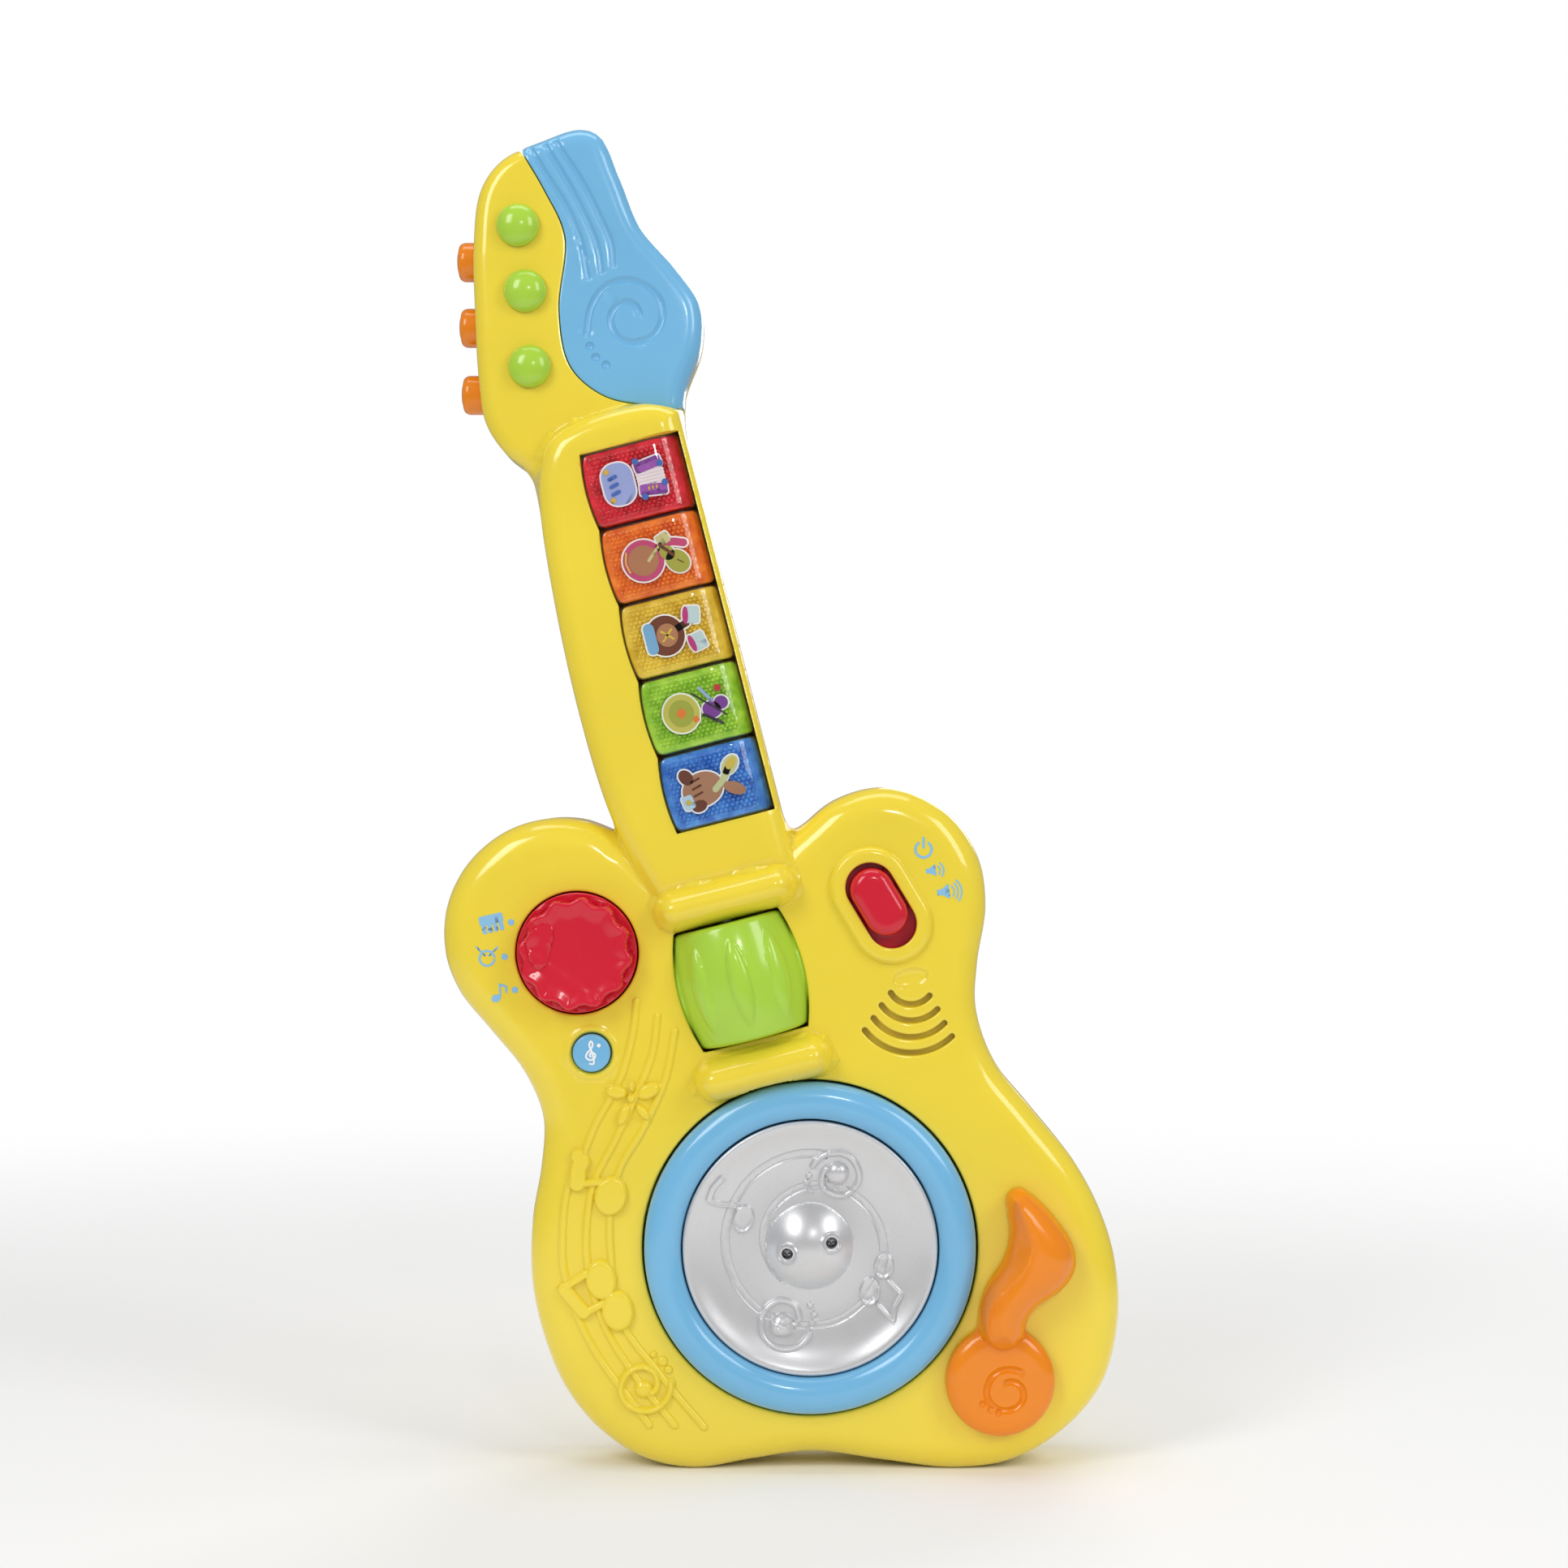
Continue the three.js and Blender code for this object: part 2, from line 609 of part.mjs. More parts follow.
function keyMembrane() {
  let sheet = solid(plate(KEY_BOARD_OUTLINE, KEY_BOARD + 2, KEY_BOARD + 3.4));
  for (let i = 0; i < KEY_COUNT; i += 1) {
    for (const u of PAD_US) {
      const bump = disc(2.4, KEY_BOARD + 3, KEY_BOARD + 5.6, 6);
      sheet = sheet.add(solid(at(bump, [u, keyCentre(i)])));
    }
    sheet = sheet.subtract(solid(at(disc(3.2, 0, ABOVE, 8), [LAMP_U, keyCentre(i)])));
  }
  return onNeck(geometryOf(sheet));
}
add('key_membrane', keyMembrane(), rubber);

for (let i = 0; i < KEY_COUNT; i += 1) {
  const lamp = turned([
    [0, 0], [2.5, 0], [2.5, 3.2], [1.6, 4.4], [0, 4.8],
  ], 8);
  lamp.translate(LAMP_U, keyCentre(i), KEY_BOARD + 2);
  add(`key_lamp_${i + 1}`, onNeck(lamp), white);
}

// ---------------------------------------------------------------- roller

function roller() {
  const half = ROLLER_LENGTH / 2;
  const outer = barrelProfile(0);
  const inner = outer.map(([radius, z]) => [radius - 2.2, z]).reverse();
  inner[0][1] = half - 2.4;
  const bore = AXLE_R + GAP;
  return onRollerAxis(turnedRing([
    ...outer, [bore, half], [bore, -half], [4.6, -half], [4.6, half - 2.4], ...inner,
  ], 28));
}
add('roller', roller(), green);
add('roller_axle', onRollerAxis(disc(AXLE_R, -POST_HALF - 2.3, POST_HALF + 2.3, 16)), steel);

// ---------------------------------------------------------------- turntable

const PLATTER_UNDER = PAN_FLOOR + 0.9;
const PLATTER_FLOOR = PLATTER_UNDER + 2.4;

function platter() {
  const bore = SPINDLE_R + GAP;
  const middle = (RING_R + RING_INNER_R) / 2;
  const half = (RING_R - RING_INNER_R) / 2;
  const rim = [];
  for (let i = 0; i <= 4; i += 1) {
    const turn = (Math.PI * i) / 4;
    rim.push([middle + half * Math.cos(turn), RING_TOP - 3.4 + 3.4 * Math.sin(turn)]);
  }
  return at(turnedRing([
    [bore, PLATTER_UNDER], [RING_R, PLATTER_UNDER], ...rim,
    [RING_INNER_R, PLATTER_FLOOR], [bore, PLATTER_FLOOR],
  ], 40), TABLE);
}
add('turntable_ring', platter(), blue);

const FLANGE_LOW = PLATTER_FLOOR + GAP;
const FLANGE_HIGH = FLANGE_LOW + 2.6;
const DISC_LOW = FLANGE_HIGH + GAP;

function spindle() {
  let body = solid(turned([
    [0, PAN_UNDER - 0.8], [SPINDLE_R, PAN_UNDER - 0.8], [SPINDLE_R, FLANGE_LOW], [10.5, FLANGE_LOW],
    [10.5, FLANGE_HIGH], [0, FLANGE_HIGH],
  ], 16));
  body = body.subtract(solid(disc(SCREW_HOLE_R, 10, FLANGE_LOW - 1, 10)));
  for (const place of DISC_SCREWS) {
    body = body.subtract(solid(at(disc(DISC_SCREW_HOLE_R, FLANGE_LOW + 0.6, ABOVE, 10), place)));
  }
  return at(geometryOf(body), TABLE);
}
add('turntable_spindle', spindle(), white);

function silverDisc() {
  const top = [
    [DISC_R, 38], [DISC_R - 1.6, 38.2], [32, 35.4], [22, 34.1], [DOME_R, 34.2], [11.4, 36.6],
    [7, 39.2], [0, 40],
  ];
  const under = [[0, 38], [8, 36.8], [11.4, 32.2], [24, 32.2], [DISC_R, 35.4]];
  let body = solid(turned([...under, ...top], 36));
  for (const place of DISC_SCREWS) {
    body = body.add(solid(at(disc(3.4, DISC_LOW, 38.4, 10), place)));
  }
  for (const place of DISC_SCREWS) {
    body = body.subtract(solid(at(disc(DISC_SCREW_HOLE_R, 20, ABOVE, 8), place)));
    body = body.subtract(solid(at(disc(DISC_POCKET_R, 33.4, ABOVE, 10), place)));
  }
  return at(geometryOf(body), TABLE);
}
add('turntable_disc', silverDisc(), silver);

DISC_SCREWS.forEach((place, i) => {
  const screw = turned([
    [0, FLANGE_LOW + 1], [1.15, FLANGE_LOW + 1], [1.15, 33.75], [2.15, 33.75], [2.15, 35], [0, 35.4],
  ], 8);
  add(`disc_screw_${i + 1}`, at(at(screw, place), TABLE), steel);
});

const CAM_HIGH = PAN_UNDER - 0.8 - GAP;
const CAM_LOW = CAM_HIGH - 1.1;

function cam() {
  const lobed = [];
  const steps = 24;
  for (let i = 0; i < steps; i += 1) {
    const turn = (2 * Math.PI * i) / steps;
    const radius = 7 + 0.9 * Math.cos(6 * turn);
    lobed.push(new THREE.Vector2(radius * Math.cos(turn), radius * Math.sin(turn)));
  }
  const wheel = solid(plate(lobed, CAM_LOW, CAM_HIGH)).subtract(solid(disc(SCREW_HOLE_R, 0, ABOVE, 10)));
  return at(geometryOf(wheel), TABLE);
}
add('turntable_cam', cam(), white);

add('spindle_screw', at(turned([
  [0, CAM_LOW - 1.5], [SCREW_HEAD_R, CAM_LOW - 1.5], [SCREW_HEAD_R, CAM_LOW - GAP], [SCREW_R, CAM_LOW - GAP],
  [SCREW_R, FLANGE_LOW - 1.6], [0, FLANGE_LOW - 1.6],
], 8), TABLE), steel);

const LEAF = vectors([
  [0, 0], [1.2, 0], [1.2, 3.4], [9, 5.2], [10.4, 4.4], [10.8, 5], [9.2, 6.2], [0.4, 4.2],
]);

function turntableSwitch() {
  const leaf = plate(LEAF, CAM_LOW - 0.6, CAM_HIGH + 0.2);
  leaf.rotateZ(Math.PI / 2);
  leaf.translate(TABLE[0] + 14.4, TABLE[1] - 3, 0);
  return leaf;
}
add('turntable_switch', turntableSwitch(), copper);

function rollerSwitch() {
  const leaf = plate(LEAF, 12, 17);
  leaf.translate(AXIS_U + 23, ROLLER_V - 12, 0);
  return onNeck(leaf);
}
add('roller_switch', rollerSwitch(), copper);

// ---------------------------------------------------------------- mode knob and song button

const INNER_FACE = BODY_FRONT - WALL;
const MAIN_BOARD = 18;

function knob() {
  const cap = [];
  const steps = 40;
  for (let i = 0; i < steps; i += 1) {
    const turn = (2 * Math.PI * i) / steps;
    const radius = KNOB_R - 1.3 + 0.7 * Math.cos(KNOB_LOBES * (turn - Math.PI / 2));
    cap.push(new THREE.Vector2(radius * Math.cos(turn), radius * Math.sin(turn)));
  }
  const skirt = turned([
    [0, INNER_FACE - 3], [KNOB_R + 2.2, INNER_FACE - 3], [KNOB_R + 2.2, INNER_FACE - 0.6],
    [KNOB_R, INNER_FACE - 0.6], [KNOB_R, BODY_FRONT + 0.8], [0, BODY_FRONT + 0.8],
  ], 28);
  const shaft = disc(KNOB_SHAFT_R, MAIN_BOARD + 4, INNER_FACE - 2, 14);
  return at(geometryOf(join(skirt, shaft, plate(cap, BODY_FRONT, BODY_FRONT + 8, 1.6, 1.6, 1))), KNOB);
}
add('mode_knob', knob(), red);

function modeSwitch() {
  const body = solid(plate(box(-7, 7, -7, 7), MAIN_BOARD + 1.9, MAIN_BOARD + 8));
  const bore = solid(disc(KNOB_SHAFT_R + GAP, MAIN_BOARD + 3.6, ABOVE, 14));
  return at(geometryOf(body.subtract(bore)), KNOB);
}
add('mode_switch', modeSwitch(), black);

const SONG_TOP = BODY_FRONT + 1.8;
const SONG_LOW = MAIN_BOARD + 8;

add('song_button', at(turned([
  [0, SONG_LOW], [2, SONG_LOW], [2, INNER_FACE - 2.8], [SONG_R + 1.6, INNER_FACE - 2.8],
  [SONG_R + 1.6, INNER_FACE - 0.5], [SONG_R, INNER_FACE - 0.5], [SONG_R, SONG_TOP - 0.8],
  [SONG_R - 1, SONG_TOP], [0, SONG_TOP + 0.2],
], 16), SONG), blue);

add('song_contact', at(turned([
  [0, MAIN_BOARD + 1.9], [5, MAIN_BOARD + 1.9], [5, MAIN_BOARD + 2.8], [3.4, MAIN_BOARD + 2.9],
  [2.4, MAIN_BOARD + 5.8], [0, MAIN_BOARD + 5.8],
], 10), SONG), rubber);

const MAIN_BOARD_LOOP = vectors([[-46, 118], [-46, 172], [-84, 172], [-84, 142], [-66, 118]]);
add('main_board', plate(MAIN_BOARD_LOOP, MAIN_BOARD, MAIN_BOARD + 1.6), board);

// ---------------------------------------------------------------- power slider

const CARRIAGE_HIGH = INNER_FACE - 0.5;

function slider() {
  const carriage = plate(capsule(36.5, 20, 5), CARRIAGE_HIGH - 1.8, CARRIAGE_HIGH);
  const top = BODY_FRONT + 5.4;
  const cap = plate(capsule(SLIDER_LENGTH, SLIDER_WIDTH, 6), CARRIAGE_HIGH - 0.4, top, 2.4, 2.4, 2);
  const finger = plate(box(-1.6, 1.6, -1.6, 1.6), 25, CARRIAGE_HIGH - 1);
  return slotPlace(geometryOf(join(carriage, cap, finger)), SLIDER_REST);
}
add('power_slider', slider(), red);

const SWITCH_BOARD = 16.6;

function slideSwitch() {
  const body = solid(plate(box(-5, 5, -10, 10), SWITCH_BOARD + 1.9, 28));
  const track = solid(plate(box(-1.6 - GAP, 1.6 + GAP, -1.6 - GAP - 4.2, 1.6 + GAP), 24, ABOVE));
  return slotPlace(geometryOf(body.subtract(track)), SLIDER_REST);
}
add('slide_switch', slideSwitch(), black);
add('switch_board', slotPlace(
  plate(box(-9, 9, -14, 14), SWITCH_BOARD, SWITCH_BOARD + 1.6), SLIDER_REST,
), board);

// ---------------------------------------------------------------- speaker

add('speaker', at(turned([
  [0, 12], [7.5, 12], [7.5, 18], [9, 18.4], [SPEAKER_R - 1.6, 27], [SPEAKER_R, 27.4],
  [SPEAKER_R, 29.4], [SPEAKER_R - 2, 29.4], [6, 22.6], [4, 24.2], [0, 25],
], 20), SPEAKER), black);

// ---------------------------------------------------------------- note lever

function lever() {
  const profile = turned([
    [0, BODY_FRONT + 0.5], [LEVER_R, BODY_FRONT + 0.5], [LEVER_R, 41.6], [LEVER_R - 1.2, 43],
    [0, 43],
  ], 28);
  const shaft = disc(SPINDLE_R, BODY_FRONT - 12, BODY_FRONT + 2, 14);
  const flag = plate(smoothLine(LEVER_FLAG, 28), BODY_FRONT + 0.5, LEVER_TOP, 3, 3, 2);
  return join(at(profile, LEVER), at(shaft, LEVER), flag)
    .subtract(solid(at(disc(SCREW_HOLE_R, 0, BODY_FRONT, 10), LEVER)));
}
add('note_lever', lever(), orange);

const LEVER_FOOT = BODY_FRONT - 12;

add('lever_screw', at(turned([
  [0, LEVER_FOOT - 3], [3, LEVER_FOOT - 3], [6, LEVER_FOOT - 1.6], [6, LEVER_FOOT - GAP],
  [SCREW_R, LEVER_FOOT - GAP], [SCREW_R, BODY_FRONT - 1], [0, BODY_FRONT - 1],
], 10), LEVER), steel);

function leverSpring() {
  const turns = 2.5;
  const steps = 24;
  const points = [];
  for (let i = 0; i <= steps; i += 1) {
    const turn = (2 * Math.PI * turns * i) / steps;
    points.push(new THREE.Vector3(
      LEVER[0] + 5.4 * Math.cos(turn),
      LEVER[1] + 5.4 * Math.sin(turn),
      LEVER_FOOT + 0.6 + (2.4 * i) / steps,
    ));
  }
  return new THREE.ExtrudeGeometry(new THREE.Shape(circle(0.35, 5)), {
    extrudePath: new THREE.CatmullRomCurve3(points),
    steps: 26,
    bevelEnabled: false,
  });
}
add('lever_spring', leverSpring(), steel);

// ---------------------------------------------------------------- batteries

const CELL_Z = 2.8 + CELL_R;
const CELL_LEFT = (BAY.left + BAY.right - CELL_LENGTH) / 2;

for (let i = 0; i < 3; i += 1) {
  const end = i % 2 === 0 ? 1 : -1;
  const cell = turned([
    [0, 0], [CELL_R, 0], [CELL_R, CELL_LENGTH - 1.2], [2.7, CELL_LENGTH - 1.2],
    [2.7, CELL_LENGTH], [0, CELL_LENGTH],
  ], 14);
  cell.translate(0, 0, -CELL_LENGTH / 2);
  cell.rotateY((end * Math.PI) / 2);
  cell.translate(CELL_LEFT + CELL_LENGTH / 2, BAY.low + 7.5 + 15 * i, CELL_Z);
  add(`battery_${i + 1}`, cell, look(0x35373a, 0.4, 0.3));
}
add('battery_contacts_left', plate(
  box(BAY.left + GAP, BAY.left + 1, BAY.low + 1, BAY.high - 1), 4, 16,
), steel);
add('battery_contacts_right', plate(
  box(BAY.right - 1, BAY.right - GAP, BAY.low + 1, BAY.high - 1), 4, 16,
), steel);

function batteryDoor() {
  const panel = plate(box(BAY.left + GAP, DOOR_RIGHT - GAP, BAY.low + GAP, BAY.high - GAP), 0.2, 2.3);
  return solid(panel)
    .subtract(solid(at(disc(SCREW_HOLE_R, -1, 5, 8), DOOR_SCREW)))
    .subtract(solid(at(disc(3.4, -1, 1.5, 12), DOOR_SCREW)));
}
add('battery_door', batteryDoor(), yellow);
add('door_screw', at(turned([
  [0, 0.3], [2.8, 0.3], [2.8, 1.15], [SCREW_R, 1.15], [SCREW_R, 8.2], [0, 8.2],
], 8), DOOR_SCREW), steel);

for (const { name, at: place, top, back } of CASE_SCREWS) {
  const ledge = back + SCREW_WELL_DEPTH + GAP;
  add(name, at(turned([
    [0, ledge - 2.6], [SCREW_HEAD_R, ledge - 2.2], [SCREW_HEAD_R, ledge - 0.7], [SCREW_R, ledge - 0.7],
    [SCREW_R, top - 0.5], [0, top - 0.5],
  ], 8), place), steel);
}

// ---------------------------------------------------------------- stand the guitar up

guitar.rotation.x = Math.PI / 2;
guitar.updateMatrixWorld(true);
const extent = new THREE.Box3().setFromObject(guitar, true);
const middle = extent.getCenter(new THREE.Vector3());
guitar.position.set(-middle.x, -middle.y, -extent.min.z);

export default guitar;
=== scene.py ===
"""Toy electric guitar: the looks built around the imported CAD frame.

Pieces are drawn in millimetres in the guitar's face frame (X right, Y up the standing guitar, Z out of
its face, Z = 0 on its back) and then moved into the row frame. Most visible mouldings are relief
pieces: an outline with holes, triangulated finely, and lifted by a height function.
"""

import json
import math

import bmesh
import bpy
import numpy as np
from mathutils import Matrix, Vector
from mathutils.geometry import delaunay_2d_cdt


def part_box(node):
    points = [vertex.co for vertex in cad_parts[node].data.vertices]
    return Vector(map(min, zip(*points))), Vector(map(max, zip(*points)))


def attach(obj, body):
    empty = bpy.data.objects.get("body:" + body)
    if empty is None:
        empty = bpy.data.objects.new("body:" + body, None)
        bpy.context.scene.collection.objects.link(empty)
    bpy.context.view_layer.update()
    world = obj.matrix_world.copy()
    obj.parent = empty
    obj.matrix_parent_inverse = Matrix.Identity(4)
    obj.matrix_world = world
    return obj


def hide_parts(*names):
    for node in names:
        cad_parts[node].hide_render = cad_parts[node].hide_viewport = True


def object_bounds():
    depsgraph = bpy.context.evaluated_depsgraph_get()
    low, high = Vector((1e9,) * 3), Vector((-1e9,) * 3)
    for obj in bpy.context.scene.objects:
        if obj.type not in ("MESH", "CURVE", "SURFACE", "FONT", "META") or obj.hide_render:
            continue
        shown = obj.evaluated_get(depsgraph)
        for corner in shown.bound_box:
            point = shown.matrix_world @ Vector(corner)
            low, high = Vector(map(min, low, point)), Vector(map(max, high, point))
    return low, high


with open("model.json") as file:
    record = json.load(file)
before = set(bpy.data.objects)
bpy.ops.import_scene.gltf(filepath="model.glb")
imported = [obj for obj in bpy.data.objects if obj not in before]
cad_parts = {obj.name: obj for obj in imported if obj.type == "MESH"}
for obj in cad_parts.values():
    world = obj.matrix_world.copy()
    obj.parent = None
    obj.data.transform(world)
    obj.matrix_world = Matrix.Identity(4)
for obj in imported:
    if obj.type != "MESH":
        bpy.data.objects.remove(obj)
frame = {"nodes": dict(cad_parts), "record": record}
cad_low, cad_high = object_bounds()

# ---------------------------------------------------------------- frame and driving dimensions

MM = 0.001
TABLE = np.array([8.9, 69.0])
ring_low, ring_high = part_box("turntable_ring")
SHIFT_X = (ring_low.x + ring_high.x) / 2 / MM - TABLE[0]
FACE_TO_ROW = Matrix((
    (MM, 0, 0, SHIFT_X * MM),
    (0, 0, -MM, cad_high.y),
    (0, MM, 0, cad_low.z),
    (0, 0, 0, 1),
))

WALL, FRONT_WALL = 2.4, 1.4
PARTING = 16.0
SEAM = 0.15
BODY_FRONT, BODY_EDGE, BODY_RISE = 36.0, 9.0, 8.0
NECK_FRONT, NECK_EDGE, NECK_RISE = 39.0, 7.0, 6.0
HEAD_FRONT, HEAD_EDGE, HEAD_RISE = 30.0, 5.0, 5.0
NECK_LEAN = math.radians(14.4)
NECK_ORIGIN = np.array([-16.85, 200.0])
AXIS_U = -7.8
SHARP_DEGREES = 38.0

KEY_PITCH, KEY_WIDTH, KEY_LENGTH, KEY_BULGE = 24.0, 30.4, 23.4, 1.2
KEY_BASE, KEY_CAP_FOOT, KEY_TOP = 30.6, 33.5, 41.0
ROLLER_V, ROLLER_AXIS_Z, ROLLER_LENGTH = -48.4, 26.0, 36.4
ROLLER_MID_R, ROLLER_END_R = 21.5, 18.6
WELL_R, RING_R, RING_INNER_R, RING_TOP, DISC_R = 51.7, 51.0, 39.6, 41.0, 39.1
KNOB = np.array([-62.8, 159.6])
KNOB_R, KNOB_HOLE_R = 18.5, 19.0
SONG = np.array([-58.2, 128.9])
SONG_R = 5.8
SLOT = np.array([30.7, 174.2])
SLOT_TURN = math.radians(31)
SLOT_SIZE, BEZEL_SIZE, SLIDER_SIZE, CARRIAGE_SIZE = (28.2, 15.2), (37, 24), (22.0, 13.4), (36.5, 20.0)
LEVER = np.array([67.1, 28.6])
LEVER_R = 16.7
TUNER_DOMES = [(-81.5, 384.4), (-79.2, 364.1), (-77.8, 340.7)]
TUNER_PEGS = [(-101.7, 375.6), (-101.0, 354.9), (-100.3, 333.8)]

BODY_LOOP = [
    (9.5, 4.8), (32, 2), (54, -0.4), (72, 2.4), (88, 12), (99.5, 26), (104.5, 46), (103.5, 64),
    (98.6, 80), (90.5, 95), (78.5, 110), (66, 125.8), (60.4, 142), (60.8, 156), (63.4, 174),
    (60.8, 189.5), (50, 203.8), (33, 210.4), (17, 206.6), (5, 197), (-10, 184), (-34, 182),
    (-47, 193), (-58, 199.4), (-71, 200.9), (-85, 197), (-97, 187), (-103.6, 173.5),
    (-104, 159), (-99.4, 147), (-90, 135.4), (-79.6, 122.4), (-73.8, 108.5), (-74.2, 94),
    (-77, 77), (-77.2, 58), (-73.6, 41), (-67, 25), (-57, 12.4), (-43, 3), (-27, -0.4), (-9, 2.4),
]
HEAD_LOOP = [
    (-75.3, 300), (-77, 307), (-86, 314.6), (-92, 324), (-94.2, 338), (-95.4, 360), (-95.8, 378),
    (-93.6, 396), (-87, 405.4), (-74, 411.6), (-62.5, 415.1), (-56, 412.8), (-50, 400),
    (-43.5, 384.5), (-32.5, 371.6), (-25.4, 361), (-24.8, 349), (-30, 334), (-32, 318), (-50, 300),
]
COVER_BOUNDARY = [
    (-84, 413), (-73.4, 395.5), (-67, 381), (-68.8, 358), (-65.4, 341), (-55, 331.8),
    (-40, 328.6), (-24, 327),
]
NECK_LEFT_SIDE = [
    (17.4, 126.4), (10, 130.6), (-12, 131), (-24, 126.8), (-29.6, 117), (-32, 106), (-34.4, 82),
    (-35.8, 48), (-34.8, 16), (-31.6, -4), (-27.2, -20),
]
LEVER_FLAG = [
    (73.6, 41.4), (71.4, 39.2), (68.0, 38.4), (64.6, 39.2), (62.0, 41.4), (60.9, 42), (60.6, 50),
    (63, 57.4), (68.2, 65.6), (70.1, 73.5), (69.4, 80), (69.4, 85.5), (73, 87.6), (78.4, 84.4),
    (85, 77.2), (89.6, 69.4), (89.8, 62.4), (85.6, 56.4), (78.4, 51.4), (75.2, 47), (74.2, 41),
]

# ---------------------------------------------------------------- curves


def spline(points, step, closed=False):
    """Centripetal Catmull-Rom curve through the points, sampled about every `step` millimetres."""
    pts = np.array(points, float)
    if closed:
        pts = np.vstack([pts[-1], pts, pts[:2]])
    else:
        pts = np.vstack([2 * pts[0] - pts[1], pts, 2 * pts[-1] - pts[-2]])
    dense = []
    for p0, p1, p2, p3 in zip(pts, pts[1:], pts[2:], pts[3:]):
        t1 = max(np.linalg.norm(p1 - p0), 1e-6) ** 0.5
        t2 = t1 + max(np.linalg.norm(p2 - p1), 1e-6) ** 0.5
        t3 = t2 + max(np.linalg.norm(p3 - p2), 1e-6) ** 0.5
        t = np.linspace(t1, t2, 24, endpoint=False)[:, None]
        a1 = (t1 - t) / t1 * p0 + t / t1 * p1
        a2 = (t2 - t) / (t2 - t1) * p1 + (t - t1) / (t2 - t1) * p2
        a3 = (t3 - t) / (t3 - t2) * p2 + (t - t2) / (t3 - t2) * p3
        b1 = (t2 - t) / t2 * a1 + t / t2 * a2
        b2 = (t3 - t) / (t3 - t1) * a2 + (t - t1) / (t3 - t1) * a3
        dense.append((t2 - t) / (t2 - t1) * b1 + (t - t1) / (t2 - t1) * b2)
    return resample(np.vstack(dense + [[pts[-2]]]), step, closed)


def resample(line, step, closed=False):
    """Points evenly spaced along a polyline; a closed one doesn't repeat its first point."""
    line = np.asarray(line, float)
    if closed and np.linalg.norm(line[0] - line[-1]) > 1e-9:
        line = np.vstack([line, line[:1]])
    run = np.concatenate([[0], np.cumsum(np.linalg.norm(np.diff(line, axis=0), axis=1))])
    count = max(4, int(round(run[-1] / step)))
    where = np.linspace(0, run[-1], count + 1)
    if closed:
        where = where[:-1]
    return np.stack([np.interp(where, run, line[:, 0]), np.interp(where, run, line[:, 1])], 1)


def arc(centre, radius, start, end, steps):
    """Points along an arc from one angle to another, in radians."""
    turn = np.linspace(start, end, steps)
    return np.array(centre) + radius * np.stack([np.cos(turn), np.sin(turn)], 1)


def circle(centre, radius, step):
    return arc(centre, radius, 0, 2 * math.pi, max(12, int(2 * math.pi * radius / step)) + 1)[:-1]


def capsule(length, width, step):
    """Slot-shaped closed outline along Y, about the origin."""
    top = arc((0, (length - width) / 2), width / 2, 0, math.pi, max(6, int(math.pi * width / 2 / step)))
    return resample(np.vstack([top, -top]), step, True)


def rounded_box(left, right, low, high, radius, step):
    corners = [
        (right - radius, high - radius), (left + radius, high - radius),
        (left + radius, low + radius), (right - radius, low + radius),
    ]
    quarter = math.pi / 2
    arcs = [arc(corner, radius, i * quarter, (i + 1) * quarter, 7) for i, corner in enumerate(corners)]
    return resample(np.vstack(arcs), step, True)


def turned_by(points, angle, centre=(0, 0)):
    c, s = math.cos(angle), math.sin(angle)
    return np.asarray(points, float) @ np.array([[c, s], [-s, c]]) + np.array(centre, float)


def on_neck(points):
    return turned_by(points, NECK_LEAN, NECK_ORIGIN)


def to_neck(points):
    c, s = math.cos(NECK_LEAN), math.sin(NECK_LEAN)
    return (np.asarray(points, float) - NECK_ORIGIN) @ np.array([[c, -s], [s, c]])


def side_normals(loop):
    """Unit normals of a closed loop, to its left as it runs."""
    along = np.roll(loop, -1, 0) - np.roll(loop, 1, 0)
    along /= np.linalg.norm(along, axis=1, keepdims=True) + 1e-12
    return np.stack([-along[:, 1], along[:, 0]], 1)


def line_normals(line):
    """Unit normals of an open line, to its left as it runs."""
    along = np.gradient(line, axis=0)
    along /= np.linalg.norm(along, axis=1, keepdims=True) + 1e-12
    return np.stack([-along[:, 1], along[:, 0]], 1)


def signed_area(loop):
    x, y = loop[:, 0], loop[:, 1]
    return 0.5 * np.sum(x * np.roll(y, -1) - np.roll(x, -1) * y)


def anticlockwise(loop):
    return loop if signed_area(loop) > 0 else loop[::-1]


# ---------------------------------------------------------------- distances


def inside(points, loop):
    """Whether each point is inside a closed loop."""
    result = np.zeros(len(points), bool)
    low, high = loop.min(0), loop.max(0)
    near = np.where(((points >= low) & (points <= high)).all(1))[0]
    a, b = loop, np.roll(loop, -1, 0)
    for part in np.array_split(near, max(1, len(near) // 4000)):
        x, y = points[part, 0][:, None], points[part, 1][:, None]
        crosses = (a[:, 1] > y) != (b[:, 1] > y)
        rise = np.where(b[:, 1] == a[:, 1], 1e-12, b[:, 1] - a[:, 1])
        at = a[:, 0] + (y - a[:, 1]) * (b[:, 0] - a[:, 0]) / rise
        result[part] = (crosses & (x < at)).sum(1) % 2 == 1
    return result


